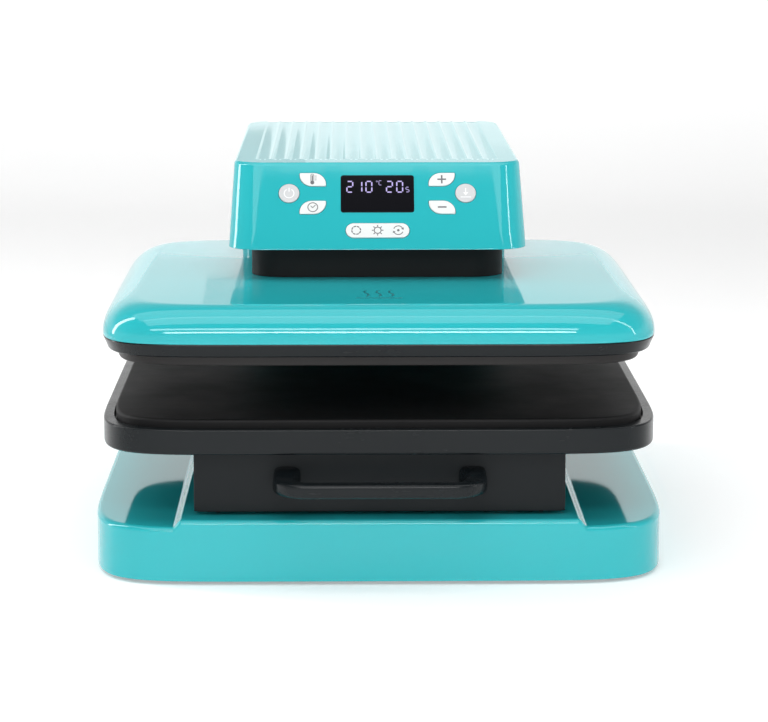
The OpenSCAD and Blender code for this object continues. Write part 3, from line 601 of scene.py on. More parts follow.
def make_base():
    """The base's walls and edges in rings, and its top in strips from front to rear."""
    edge = sizes().base_edge
    foot = BASE_LOW.z
    wing = BASE_HIGH.z - sizes().deck_step
    wall, hollow = 3 * MM, 6 * MM
    rings = [base_ring(inset, z, 0) for inset, z in (
        (wall, foot + hollow), (wall, foot), (0.8 * MM, foot), (0.2 * MM, foot + 0.3 * MM),
        (0, foot + 0.9 * MM), (0, (foot + wing) / 2))]
    rings += [base_ring(inset, wing - edge + rise, 1) for inset, rise in rounding(edge, 8)]
    vertices, faces = skin(rings)
    count = len(rings[0])
    top = (len(rings) - 1) * count
    across = len(base_columns())
    side = (count - 2 * across) // 2
    for i in range(across - 1):
        rear = across + side + across - 1 - i
        faces.append((top + i, top + i + 1, top + rear - 1, top + rear))
    half_side = side // 2
    for first, last in ((across - 1, across + side), (2 * across + side - 1, count)):
        for k in range(half_side):
            a, b = first + k, first + k + 1
            c, d = last - k - 1, (last - k) % count
            corners = (a, b, d) if b == c else (a, b, c, d)
            faces.append(tuple(top + i for i in corners))
    piece = new_object("base_body", vertices, faces)
    dress(piece, shell_gloss(), "frame", ["base_shell"], crease=28)


# ---------- Drawer, tray and handle ----------


def make_tray():
    """The tray with its raised rim, and a shine-less copy of its black on the faces that look down,
    as painted shade under the tray.
    """
    half, middle = plan_of(TRAY_LOW, TRAY_HIGH)
    rim, well = 7.4 * MM, 9 * MM
    lower, upper = 2 * MM, 1.2 * MM
    top = TRAY_HIGH.z
    steps = [(inset, TRAY_LOW.z + lower - rise) for inset, rise in reversed(rounding(lower, 5))]
    steps += [(inset, top - upper + rise) for inset, rise in rounding(upper, 5)]
    steps += [(rim - 0.5 * MM, top), (rim - 0.15 * MM, top - 0.15 * MM), (rim, top - 0.6 * MM),
              (rim, top - well)]
    tray = from_rings("tray", soft_rings(half, middle, steps))
    dress(tray, black_satin(), "drawer", ["base_tray"])
    # Faces that look down get a shine-less copy of the same black: painted shade under the tray
    tray.data.materials.append(underside_painted_shade())
    looks_down = -0.9
    for face in tray.data.polygons:
        if face.normal.z < looks_down:
            face.material_index = 1


def make_pad():
    """The silicone pad, with a soft edge and a top that crowns very slightly."""
    half, middle = plan_of(PAD_LOW, PAD_HIGH)
    bulge, edge, crown = 0.4 * MM, 2.2 * MM, 0.15 * MM
    top = PAD_HIGH.z
    steps = [(0.0, PAD_LOW.z), (0.0, top - edge)]
    steps += [(inset, top - edge + rise - crown) for inset, rise in rounding(edge, 7)][1:]
    steps += [(8 * MM, top - 0.05 * MM), (22 * MM, top - 0.01 * MM), (60 * MM, top)]
    pad = from_rings("pad", soft_rings(half + bulge, middle, steps))
    dress(pad, pad_silicone(), "drawer", ["silicone_pad"])


def make_drawer_front():
    size = FRONT_HIGH - FRONT_LOW
    middle_z = (FRONT_HIGH.z + FRONT_LOW.z) / 2
    upper, lower = 2 * MM, 3.5 * MM
    face = FRONT_LOW.y
    rings = []
    for inset, y in ((0, FRONT_HIGH.y), (0, face + 0.9 * MM), (0.1 * MM, face + 0.4 * MM),
                     (0.4 * MM, face + 0.1 * MM), (0.9 * MM, face)):
        outline = corner_outline(size.x - 2 * inset, size.z - 2 * inset,
                                 [upper, upper, lower, lower])
        rings.append([(x, y, middle_z + z) for x, z in outline])
    piece = from_rings("drawer_face", rings)
    dress(piece, black_moulding(), "drawer", ["drawer_front"])


def handle_path():
    """Stations along the handle from the left root to the right: place, run, width, height."""
    arm = sizes().handle_arm
    half = HANDLE_HIGH.x - arm / 2
    flare = 4.5 * MM
    bar_d, bar_h, root_h = 13 * MM, 10.6 * MM, 16 * MM
    front = HANDLE_LOW.y + bar_d / 2
    root_z = HANDLE_HIGH.z - 8 * MM
    bar_z = HANDLE_LOW.z + 5.4 * MM
    turn = 17 * MM
    # How much of the fall from root to bar the arm takes; the bend takes the rest
    arm_fall = 0.55
    arm_steps, bend_steps, bar_steps = 6, 12, 12
    left = []
    for k in range(arm_steps + 1):
        t = k / arm_steps
        y = HANDLE_HIGH.y + (front + turn - HANDLE_HIGH.y) * t
        extra = flare * (1 - t) ** 2
        left.append((Vector((-half + extra / 2, y, 0)), t * arm_fall, arm + extra))
    for k in range(1, bend_steps):
        t = k / bend_steps
        a = math.pi / 2 * t
        spot = Vector((-half + turn * (1 - math.cos(a)), front + turn * (1 - math.sin(a)), 0))
        left.append((spot, arm_fall + (1 - arm_fall) * t, arm + (bar_d - arm) * t))
    for k in range(bar_steps + 1):
        x = (-half + turn) * (1 - k / bar_steps)
        left.append((Vector((x, front, 0)), 1.0, bar_d))
    full = left + [(Vector((-p.x, p.y, 0)), t, w) for p, t, w in reversed(left[:-1])]
    result = []
    for i, (p, t, w) in enumerate(full):
        fall = ease(t)
        z = root_z + (bar_z - root_z) * fall
        height = root_h + (bar_h - root_h) * min(1, fall * 1.15)
        before = full[max(0, i - 1)][0]
        after = full[min(len(full) - 1, i + 1)][0]
        run = (after - before).normalized()
        result.append((Vector((p.x, p.y, z)), run, w, height))
    return result


def make_handle():
    steps = 40
    full_w, full_h = 4.2, 3.6
    outline = []
    for k in range(steps):
        a = 2 * math.pi * k / steps
        outline.append((power(math.cos(a), 2 / full_w), power(math.sin(a), 2 / full_h)))
    rings = []
    for place, run, width, height in handle_path():
        side = Vector((run.y, -run.x, 0))
        rings.append([tuple(place + side * (u * width / 2) + Vector((0, 0, v * height / 2)))
                      for u, v in outline])
    piece = from_rings("pull_handle", [list(reversed(r)) for r in rings])
    dress(piece, black_satin(), "drawer", ["handle"], crease=60)


# ---------- Platen ----------


def make_dome():
    """The cover's rolled edge in rings, then its top from the soft plan in to the skirt's."""
    half, middle = plan_of(DOME_LOW, DOME_HIGH)
    roll = sizes().dome_roll
    rise = DOME_HIGH.z - DOME_LOW.z
    crown = sizes().dome_crown
    low, lip = DOME_LOW.z, 0.6 * MM
    steps = [(2 * MM, low + 1 * MM), (1 * MM, low), (0.35 * MM, low + 0.1 * MM)]
    roll_steps, top_steps = 22, 8
    for k in range(roll_steps + 1):
        a = math.pi / 2 * k / roll_steps
        steps.append((roll * (1 - math.cos(a)),
                      low + lip + (rise - crown - lip) * math.sin(a) ** 0.96))
    rings = soft_rings(half, middle, steps)
    edge = rings[-1]
    hole_w = (SKIRT_HIGH.x - SKIRT_LOW.x) / 2 - SKIRT_LAP
    hole_d = (SKIRT_HIGH.y - SKIRT_LOW.y) / 2 - SKIRT_LAP
    level = edge[0][2]
    for k in range(1, top_steps + 1):
        t = k / top_steps
        ring = []
        for x, y, _ in edge:
            dx, dy = x, y - middle
            reach = max(abs(dx) / hole_w, abs(dy) / hole_d)
            corner = (abs(dx / reach / hole_w) ** 7 + abs(dy / reach / hole_d) ** 7) ** (1 / 7)
            hx, hy = dx / reach / corner, dy / reach / corner
            ring.append((dx + (hx - dx) * t, middle + dy + (hy - dy) * t,
                         level + crown * math.sin(math.pi / 2 * t)))
        rings.append(ring)
    rings.append([(x, y, z - 3 * MM) for x, y, z in rings[-1]])
    dome = from_rings("platen_dome", rings, capped=False)
    dress(dome, shell_gloss(), "platen", ["platen_cover"], crease=50)


def make_band():
    """The black frame round the heated plate, which steps in below its lip."""
    half, middle = plan_of(BAND_LOW, BAND_HIGH)
    gap, step_in, edge = 0.8 * MM, 3 * MM, 2.2 * MM
    width = half - (PLATE_HIGH.x - PLATE_LOW.x) / 2 - gap
    low, high = BAND_LOW.z, BAND_HIGH.z
    steps = [(width, high - 1 * MM), (width, low + 0.5 * MM), (width - 0.5 * MM, low)]
    steps += [(step_in + inset, low + edge - rise) for inset, rise in reversed(rounding(edge, 6))]
    steps += [(0.25 * MM, high - 0.8 * MM), (0.45 * MM, high - 0.2 * MM), (1 * MM, high)]
    band = from_rings("platen_band", soft_rings(half, middle, steps), capped=False)
    dress(band, black_satin(), "platen", ["platen_frame"])


def make_hot_plate():
    half, middle = plan_of(PLATE_LOW, PLATE_HIGH)
    lower, upper = 1.2 * MM, 0.4 * MM
    steps = [(inset, PLATE_LOW.z + lower - rise) for inset, rise in reversed(rounding(lower, 5))]
    steps += [(inset, PLATE_HIGH.z - upper + rise) for inset, rise in rounding(upper, 6)]
    plate = from_rings("hot_plate", soft_rings(half, middle, steps))
    dress(plate, hot_plate_coating(), "platen", ["heating_plate"])


def make_skirt():
    """The sliding skirt: an open tube whose last ring meets its first."""
    size = SKIRT_HIGH - SKIRT_LOW
    middle = (SKIRT_LOW.y + SKIRT_HIGH.y) / 2
    low, high = SKIRT_LOW.z, SKIRT_HIGH.z
    wall, corner = 3 * MM, 24 * MM
    rings = []
    for inset, z in ((wall, low + 0.5 * MM), (0.5 * MM, low), (0.1 * MM, low + 0.2 * MM),
                     (0, low + 0.6 * MM), (0, high - 0.6 * MM), (0.2 * MM, high - 0.2 * MM),
                     (0.6 * MM, high), (wall, high), (wall, low + 0.5 * MM)):
        outline = corner_outline(size.x - 2 * inset, size.y - 2 * inset, [corner - inset] * 4, 16)
        rings.append([(x, middle + y, z) for x, y in outline])
    piece = from_rings("sliding_skirt", rings, capped=False)
    dress(piece, skirt_black(), "platen", ["skirt"])


# ---------- Head ----------


def flute_fall(x):
    """How deep the flutes are at x across the head's top, from 0 on a ridge to 1 in a flute."""
    pitch = sizes().flute_pitch
    half = sizes().flute_count * pitch / 2
    if abs(x) >= half:
        return 0.0
    t = ((x + half) / pitch) % 1.0
    return math.sin(math.pi * t) ** FLUTE_SHAPE if 0 < t < 1 else 0.0


def head_columns():
    """Places across the head: fourteen to each flute, and one past them on each side."""
    pitch = sizes().flute_pitch
    half = sizes().flute_count * pitch / 2
    per = 14
    count = sizes().flute_count * per
    inner = [-half + pitch * k / per for k in range(count + 1)]
    reach = (HEAD_HIGH.x - HEAD_LOW.x) / 2 - sizes().head_corner - sizes().side_draft
    if reach > half:
        inner = [-reach] + inner + [reach]
    return inner


def head_ring(z, inset, flute):
    """One level of the head, counterclockwise from the left end of its front."""
    s = sizes()
    rise = z - HEAD_LOW.z
    height = HEAD_HIGH.z - HEAD_LOW.z
    half_w = (HEAD_HIGH.x - HEAD_LOW.x) / 2 - s.side_draft * rise / height - inset
    front = HEAD_LOW.y + rise * math.tan(s.panel_lean) + inset
    rear = HEAD_HIGH.y - inset
    radius = s.head_corner - inset * 0.5
    straight = half_w - radius
    columns = head_columns()

    def edge_y(x):
        over = abs(x) - straight
        return radius - math.sqrt(max(0.0, radius * radius - over * over)) if over > 0 else 0.0

    begin = math.asin(min(1.0, max(0.0, (columns[-1] - straight) / radius)))
    turns = [begin + (math.pi / 2 - begin) * k / CORNER_STEPS
             for k in range(1, CORNER_STEPS + 1)]
    reach = [(straight + radius * math.sin(a), radius - radius * math.cos(a)) for a in turns]
    points = [(x, front + edge_y(x), z) for x in columns]
    points += [(x, front + y, z) for x, y in reach]
    points += [(x, rear - y, z) for x, y in reversed(reach)]
    points += [(x, rear - edge_y(x), z - flute * s.flute_depth * flute_fall(x))
               for x in reversed(columns)]
    points += [(-x, rear - y, z) for x, y in reach]
    points += [(-x, front + y, z) for x, y in reversed(reach)]
    return points


def make_head():
    """The head's walls and edges in rings, and its fluted top in rows from front to rear."""
    s = sizes()
    edge, edge_steps = s.head_edge, 8
    low, top = HEAD_LOW.z, HEAD_HIGH.z
    wall = 3.4 * MM
    rings = [head_ring(z, inset, 0) for z, inset in (
        (low + 4 * MM, wall), (low, wall), (low, 0.9 * MM), (low + 0.25 * MM, 0.25 * MM),
        (low + 0.9 * MM, 0), (low + 12 * MM, 0))]
    for k, (inset, rise) in enumerate(rounding(edge, edge_steps)):
        rings.append(head_ring(top - edge + rise, inset, k / edge_steps))
    vertices, faces = skin(rings)
    count = len(rings[0])
    across = len(head_columns())
    start = (len(rings) - 1) * count
    ridge = vertices[start:start + count]
    begin = HEAD_LOW.y + (top - low) * math.tan(s.panel_lean) + s.flute_setback
    # Each flute starts with a rounded end this long
    end_run, end_steps = 5.2 * MM, 10
    levels = [begin - 6 * MM]
    levels += [begin + end_run * k / end_steps for k in range(end_steps + 1)]
    levels += [begin + 60 * MM, begin + 160 * MM]
    pitch = s.flute_pitch
    half = s.flute_count * pitch / 2
    table = [[start + i for i in range(across)]]
    for y in levels:
        row = []
        for i in range(across):
            x = ridge[i][0]
            run = min(1.0, max(0.0, (y - begin) / end_run))
            t = abs(((x + half) / pitch) % 1.0 - 0.5) * 2 if abs(x) < half - 1e-7 else 1.0
            reach = math.sqrt(max(0.0, 1 - (1 - run) ** 2))
            fall = 0.0
            if reach > t and reach > 0:
                fall = math.cos(math.pi / 2 * t / reach) ** FLUTE_SHAPE * min(1.0, reach * 1.1)
            if run >= 1.0:
                fall = flute_fall(x)
            row.append(len(vertices))
            vertices.append((x, y, top - s.flute_depth * fall))
        table.append(row)
    around = 2 * CORNER_STEPS
    table.append([start + across + around + (across - 1 - i) for i in range(across)])
    for a, b in zip(table, table[1:]):
        for i in range(across - 1):
            faces.append((a[i], a[i + 1], b[i + 1], b[i]))
    right = [start + across - 1 + k for k in range(around + 2)]
    left = [start + 2 * across + around - 1 + k for k in range(around + 1)] + [start]
    faces.append(tuple(right + [row[-1] for row in reversed(table[1:-1])]))
    faces.append(tuple(left + [row[0] for row in table[1:-1]]))
    return new_object("head_body", vertices, faces)


def panel_point(u, v, w):
    """A point on the control panel: across, up the slope and out from it, in millimetres."""
    lean = sizes().panel_lean
    return Vector((u * MM,
                   HEAD_LOW.y + (v * math.sin(lean) - w * math.cos(lean)) * MM,
                   HEAD_LOW.z + (v * math.cos(lean) + w * math.sin(lean)) * MM))


def panel_rings(outline, u, v, levels):
    """Rings of a panel piece: outline(grow) at each (grow, height)."""
    return [[tuple(panel_point(u + x, v + y, w)) for x, y in outline(grow)]
            for grow, w in levels]


def round_plan(grow):
    size = ROUND_KEY + 2 * grow
    return corner_outline(size, size, [size / 2 - TINY] * 4, 16)


def leaf_plan(side):
    """A leaf with two swept corners, which is turned over for the other side."""
    def outline(grow):
        sharp, full = LEAF_TIP + max(grow, -0.6), LEAF_SWEEP + grow
        radii = [full, sharp, full, sharp] if side > 0 else [sharp, full, sharp, full]
        return corner_outline(LEAF_KEY[0] + 2 * grow, LEAF_KEY[1] + 2 * grow, radii, 14)
    return outline


def mode_plan(grow):
    width, height = MODE_KEY[0] + 2 * grow, MODE_KEY[1] + 2 * grow
    return corner_outline(width, height, [height / 2 - TINY] * 4, 16)


def display_plan(grow):
    return corner_outline(DISPLAY[0] + 2 * grow, DISPLAY[1] + 2 * grow,
                          [DISPLAY_CORNER + grow] * 4, 10)


KEY_PLANS = {
    "power": round_plan,
    "start": round_plan,
    "temperature": leaf_plan(1),
    "timer": leaf_plan(-1),
    "plus": leaf_plan(-1),
    "minus": leaf_plan(1),
    "mode": mode_plan,
}


def make_head_with_wells():
    """Cuts the key wells and the display's recess out of the head."""
    head = make_head()
    key_gap, glass_gap = sizes().key_gap / MM, 0.12
    floor, clear = -2.6, 2.0
    places = [(KEY_PLANS[name], u, v, key_gap) for name, (u, v) in KEYS.items()]
    places.append((display_plan, 0.0, DISPLAY_V, glass_gap))
    vertices, faces = [], []
    for plan, u, v, grow in places:
        rings = panel_rings(plan, u, v, [(grow, floor), (grow, clear)])
        count = len(rings[0])
        start = len(vertices)
        vertices += rings[0] + rings[1]
        faces += bridge(count, start, start + count)
        faces.append(tuple(reversed(range(start, start + count))))
        faces.append(tuple(range(start + count, start + 2 * count)))
    cutter = new_object("well_cutter", vertices, faces)
    cut = head.modifiers.new("wells", "BOOLEAN")
    cut.operation = "DIFFERENCE"
    cut.solver = "EXACT"
    cut.object = cutter
    ready = bpy.context.evaluated_depsgraph_get()
    mesh = bpy.data.meshes.new_from_object(head.evaluated_get(ready))
    head.modifiers.clear()
    head.data = mesh
    bpy.data.objects.remove(cutter)
    dress(head, shell_gloss(), "frame", ["head_cover"], crease=30)


# ---------- Signs on the keys and the display ----------


def bar(x0, y0, x1, y1, width):
    """A straight stroke with squared ends, as one quad."""
    run = Vector((x1 - x0, y1 - y0)).normalized() * (width / 2)
    return [[(x0 + run.y, y0 - run.x), (x1 + run.y, y1 - run.x),
             (x1 - run.y, y1 + run.x), (x0 - run.y, y0 + run.x)]]


def arc(x, y, radius, width, start, end, steps=20):
    """A curved stroke as a strip of quads."""
    quads = []
    for k in range(steps):
        a = math.radians(start + (end - start) * k / steps)
        b = math.radians(start + (end - start) * (k + 1) / steps)
        inner, outer = radius - width / 2, radius + width / 2
        quads.append([(x + inner * math.cos(a), y + inner * math.sin(a)),
                      (x + outer * math.cos(a), y + outer * math.sin(a)),
                      (x + outer * math.cos(b), y + outer * math.sin(b)),
                      (x + inner * math.cos(b), y + inner * math.sin(b))])
    return quads


def disc(x, y, radius, steps=20):
    return [[(x + radius * math.cos(2 * math.pi * k / steps),
              y + radius * math.sin(2 * math.pi * k / steps)) for k in range(steps)]]


def wave(x, y, height, swing, width, steps=12):
    """A short upright wavy stroke."""
    quads = []
    for k in range(steps):
        t0, t1 = k / steps, (k + 1) / steps
        x0 = x + swing * math.sin(2 * math.pi * t0)
        x1 = x + swing * math.sin(2 * math.pi * t1)
        quads += bar(x0, y + height * t0, x1, y + height * t1, width)
    return quads


def sign(name, shapes, place, thick=0.03):
    """Thin inlaid polygons: place(x, y, w) gives each corner's point."""
    vertices, faces = [], []
    for shape in shapes:
        area = sum(shape[i][0] * shape[(i + 1) % len(shape)][1]
                   - shape[(i + 1) % len(shape)][0] * shape[i][1] for i in range(len(shape)))
        if area < 0:
            shape = shape[::-1]
        start = len(vertices)
        count = len(shape)
        vertices += [tuple(place(x, y, 0)) for x, y in shape]
        vertices += [tuple(place(x, y, thick)) for x, y in shape]
        faces += bridge(count, start, start + count)
        faces.append(tuple(range(start + count, start + 2 * count)))
    return new_object(name, vertices, faces)


def power_sign():
    return arc(0, -0.2, 3.7, 0.75, 118, 422, 36) + bar(0, 1.2, 0, 4.6, 0.75)


def start_sign():
    """A plate coming down on a bed."""
    return (bar(-3.9, -3.4, 3.9, -3.4, 0.8) + bar(0, 4.2, 0, 0.2, 0.8)
            + [[(-2.1, 0.6), (0, -2.2), (2.1, 0.6)]])


def temperature_sign():
    return (disc(-0.4, -2.7, 1.5) + bar(-0.4, -1.6, -0.4, 3.4, 1.0)
            + arc(-0.4, 3.3, 1.15, 0.45, 0, 180, 12)
            + bar(-1.55, -1.6, -1.55, 3.3, 0.45) + bar(0.75, -1.6, 0.75, 3.3, 0.45)
            + bar(1.6, 2.8, 2.9, 2.8, 0.5) + bar(1.6, 1.2, 2.9, 1.2, 0.5)
            + bar(1.6, -0.4, 2.9, -0.4, 0.5))


def timer_sign():
    return (arc(0, 0, 3.7, 0.7, 0, 360, 36) + bar(-1.6, 1.2, 0, -0.5, 0.6)
            + bar(-0.2, -0.6, 2.0, 1.9, 0.6))


def plus_sign():
    return bar(-3.3, 0, 3.3, 0, 1.2) + bar(0, -3.5, 0, -0.6, 1.2) + bar(0, 0.6, 0, 3.5, 1.2)


def minus_sign():
    return bar(-3.3, 0, 3.3, 0, 1.2)


def mode_sign():
    """A dashed ring, a sun and a pair of turning arrows."""
    shapes = []
    for k in range(8):
        shapes += arc(-16.2, 0, 3.3, 0.9, 45 * k, 45 * k + 36, 5)
    shapes += arc(0, 0, 2.6, 0.75, 0, 360, 28)
    for k in range(8):
        a = math.radians(45 * k)
        shapes += bar(3.1 * math.cos(a), 3.1 * math.sin(a), 4.4 * math.cos(a),
                      4.4 * math.sin(a), 0.75)
    for turn in (0, 180):
        shapes += arc(15.6, 0, 3.6, 0.65, turn + 30, turn + 160, 16)
        tip = math.radians(turn + 30)
        spot = (15.6 + 3.6 * math.cos(tip), 3.6 * math.sin(tip))
        along = tip - math.pi / 2
        shapes.append([(spot[0] + 1.7 * math.cos(along), spot[1] + 1.7 * math.sin(along)),
                       (spot[0] + 1.2 * math.cos(tip), spot[1] + 1.2 * math.sin(tip)),
                       (spot[0] - 1.2 * math.cos(tip), spot[1] - 1.2 * math.sin(tip))])
    shapes += disc(15.6, 0, 1.0)
    return shapes


SIGNS = {
    "power": power_sign,
    "start": start_sign,
    "temperature": temperature_sign,
    "timer": timer_sign,
    "plus": plus_sign,
    "minus": minus_sign,
    "mode": mode_sign,
}

# Segments lit for each digit: top, upper right, lower right, bottom, lower left, upper left, middle
LIT = {"0": "1111110", "1": "0110000", "2": "1101101", "s": "1011011"}


def digit(mark, x, y, width, height, stroke):
    """One seven-segment figure with its lower left corner at x, y."""
    cut = stroke * 0.62
    middle = y + height / 2
    ends = [
        (x + cut, y + height, x + width - cut, y + height),
        (x + width, y + height - cut, x + width, middle + cut),
        (x + width, middle - cut, x + width, y + cut),
        (x + cut, y, x + width - cut, y),
        (x, middle - cut, x, y + cut),
        (x, y + height - cut, x, middle + cut),
        (x + cut, middle, x + width - cut, middle),
    ]
    shapes = []
    for lit, (x0, y0, x1, y1) in zip(LIT[mark], ends):
        if lit == "1":
            shapes += bar(x0, y0, x1, y1, stroke)
    return shapes


def make_key(name):
    """A key with rounded edges and its sign; the round ones are greyer and have white signs."""
    u, v = KEYS[name]
    levels = [(-0.3, -3.0), (0, -2.7), (0, 0.25), (-0.08, 0.42), (-0.25, 0.54), (-0.5, 0.58)]
    body = name + "_key"
    is_round = KEY_PLANS[name] is round_plan
    key = from_rings("key_" + name, panel_rings(KEY_PLANS[name], u, v, levels))
    dress(key, round_key_plastic() if is_round else key_plastic(), body,
          ["button_" + name], crease=40)
    print_on = sign("sign_" + name, SIGNS[name](),
                    lambda x, y, w: panel_point(u + x, v + y, KEY_FACE + w))
    dress(print_on, white_ink() if is_round else key_ink(), body)


def make_display():
    rings = panel_rings(display_plan, 0, DISPLAY_V,
                        [(-0.4, -2.4), (0, -2.2), (0, -0.15), (-0.1, 0.0), (-0.3, 0.06)])
    lens = from_rings("display_window", rings)
    dress(lens, dark_glass(), "frame", ["display_lens"], crease=40)
    wide, tall, stroke, fine = 4.4, 9.0, 0.95, 0.38
    foot = DISPLAY_V + 1.4
    shapes = []
    for mark, x in (("2", -23.1), ("1", -16.2), ("0", -8.6), ("2", 7.0), ("0", 14.8)):
        shapes += digit(mark, x, 0, wide, tall, stroke)
    # The degree ring and the C after the temperature, then the s after the time
    shapes += arc(-0.3, 9.0, 0.5, 0.25, 0, 360, 16)
    shapes += bar(1.4, 9.6, 3.0, 9.6, fine) + bar(1.4, 6.0, 3.0, 6.0, fine)
    shapes += bar(1.2, 9.3, 1.2, 6.3, fine)
    shapes += digit("s", 21.7, 0.1, 2.3, 4.0, 0.5)
    lit = sign("display_digits", shapes,
               lambda x, y, w: panel_point(x, foot + y, GLASS_FACE + w))
    dress(lit, glow("digit_glow", colours().digits, 1.0), "frame")


def make_cover_mark():
    """Three short heat waves over a line, printed on the front of the platen cover."""
    start = DOME_LOW.y + 55 * MM
    edge = DOME_LOW.y + sizes().dome_roll
    run = SKIRT_LOW.y + SKIRT_LAP - edge
    crown = sizes().dome_crown
    clear = 0.03

    def place(x, y, w):
        """A point on the cover's crowned top, so that the mark follows it."""
        spot = start + y * MM
        rise = crown * math.sin(math.pi / 2 * (spot - edge) / run)
        return Vector((x * MM, spot, DOME_HIGH.z - crown + rise + (clear + w) * MM))

    shapes = []
    for x in (-9, 0, 9):
        shapes += wave(x, 3, 26, 1.5, 1.4)
    shapes += bar(-17, -4, 17, -4, 1.6)
    mark = sign("heat_waves", shapes, place, thick=0.05)
    ink = finish("cover_ink", (0.008, 0.14, 0.155), rough=(0.25, 0.35), drift=0.1)
    dress(mark, ink, "platen")


# ---------- Finishes of the frame's own pieces ----------


def frame_finishes():
    """Each kept piece of the frame and its finish."""
    shell = shell_gloss()
    steel = finish("plated_steel", (0.42, 0.43, 0.44), rough=(0.28, 0.42), metallic=1.0,
                   drift=0.12, grain=1200, bump=0.1, bump_depth=0.0001)
    bright = finish("ground_steel", (0.66, 0.67, 0.68), rough=(0.12, 0.22), metallic=1.0,
                    drift=0.05, grain=1800, bump=0.05, bump_depth=0.00005)
    zinc = finish("zinc_screws", (0.55, 0.56, 0.58), rough=(0.25, 0.38), metallic=1.0,
                  drift=0.15, grain=1500)
    cast = finish("cast_aluminium", (0.56, 0.57, 0.58), rough=(0.4, 0.55), metallic=1.0,
                  drift=0.1, grain=700, bump=0.3, bump_depth=0.0002)
    bronze = finish("bronze_gears", (0.5, 0.35, 0.13), rough=(0.25, 0.4), metallic=1.0,
                    drift=0.12, grain=1300)
    motor = finish("motor_enamel", (0.05, 0.055, 0.06), rough=(0.35, 0.5), metallic=0.3,
                   drift=0.15, bump=0.15)
    wool = finish("insulation_fibre", (0.62, 0.57, 0.45), rough=(0.85, 0.97), drift=0.3,
                  drift_scale=40, grain=500, bump=0.6, bump_depth=0.0006)
    sheath = finish("element_sheath", (0.2, 0.16, 0.13), rough=(0.4, 0.55), metallic=0.8,
                    drift=0.35, drift_scale=30)
    board = finish("circuit_lacquer", (0.015, 0.13, 0.045), rough=(0.3, 0.42), coat=0.3,
                   drift=0.2, drift_scale=60, ripple=400, bump=0.3, bump_depth=0.0003)
    nylon = finish("glide_nylon", (0.74, 0.71, 0.63), rough=(0.38, 0.5), drift=0.06)
    rubber = finish("foot_rubber", (0.016, 0.016, 0.017), rough=(0.7, 0.85), drift=0.2,
                    grain=900, bump=0.4, bump_depth=0.0003, dust=0.12)
    socket = finish("socket_black", (0.014, 0.014, 0.016), rough=(0.35, 0.48), drift=0.15,
                    grain=1500, bump=0.2)
    return {
        shell: ["head_underside", "column_cover", "rear_cover"],
        steel: ["base_pan", "slide_outer", "slide_middle", "slide_inner",
                "frame_side_left", "frame_side_right", "frame_arm_left", "frame_arm_right",
                "frame_back", "top_plate", "carriage_plate"],
        bright: ["linear_bushings", "screw_bearing", "lift_screw", "guide_rods"],
        zinc: ["pan_screws", "handle_screws", "tray_screws", "rear_screws"],
        cast: ["pad_plate", "guide_housings", "bearing_housing", "nut_tube", "platen_posts"],
        bronze: ["motor_pinion", "screw_gear", "lift_nut", "thermostat"],
        motor: ["lift_motor"],
        wool: ["insulation_board"],
        sheath: ["heating_element"],
        board: ["control_board", "power_board"],
        nylon: ["glide_strips"],
        rubber: ["feet"],
        socket: ["power_inlet", "switch_frame", "switch_rocker", "fan_frame", "fan_rotor"],
        black_moulding(): ["drawer_frame", "slide_support"],
        skirt_black(): ["inner_skirt"],
    }


def dress_frame():
    for material, names in frame_finishes().items():
        for name in names:
            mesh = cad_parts[name].data
            mesh.materials.clear()
            mesh.materials.append(material)


# ---------- Stage ----------


def soft_light(name, place, aim, size, strength):
    data = bpy.data.lights.new(name, "AREA")
    data.shape = "RECTANGLE"
    data.size, data.size_y = size
    data.energy = strength
    lamp = bpy.data.objects.new(name, data)
    lamp.location = place
    lamp.rotation_euler = (Vector(aim) - Vector(place)).to_track_quat("-Z", "Y").to_euler()
    bpy.context.scene.collection.objects.link(lamp)
    return lamp


def make_floor():
    """A pale floor that sweeps up behind into a low wall and glows a little."""
    turn, start, wall_top, steps = 0.45, 2.0, 0.52, 16
    profile = [(-4.0, 0.0), (-1.0, 0.0), (start, 0.0)]
    for k in range(1, steps + 1):
        a = math.pi / 2 * k / steps
        profile.append((start + turn * math.sin(a), turn * (1 - math.cos(a))))
    profile.append((start + turn, wall_top))
    places = (-4.5, -1.5, 1.5, 4.5)
    vertices = [(x, y, z) for y, z in profile for x in places]
    across = len(places)
    faces = []
    for r in range(len(profile) - 1):
        for c in range(across - 1):
            a = r * across + c
            faces.append((a, a + 1, a + across + 1, a + across))
    floor = new_object("studio_floor", vertices, faces)
    for face in floor.data.polygons:
        face.use_smooth = True
    paper = finish("floor_paper", (0.86, 0.86, 0.86), rough=(0.6, 0.7), drift=0.01, grain=500)
    shader = paper.node_tree.nodes["Principled BSDF"]
    shader.inputs["Emission Color"].default_value = (1, 1, 1, 1)
    shader.inputs["Emission Strength"].default_value = 0.27
    floor.data.materials.append(paper)


def make_flag():
    """A grey card out of sight behind, so that the head's flutes stand out."""
    low, high = Vector((-0.19, 1.0, 0.36)), Vector((-0.07, 1.0, 0.46))
    flag = new_object("dark_flag", [low, (high.x, high.y, low.z), high, (low.x, low.y, high.z)],
                      [(0, 1, 2, 3)])
    flag.data.materials.append(finish("flag_cloth", (0.6, 0.6, 0.6), rough=(0.9, 0.95)))
    flag.visible_camera = False
    flag.visible_shadow = False


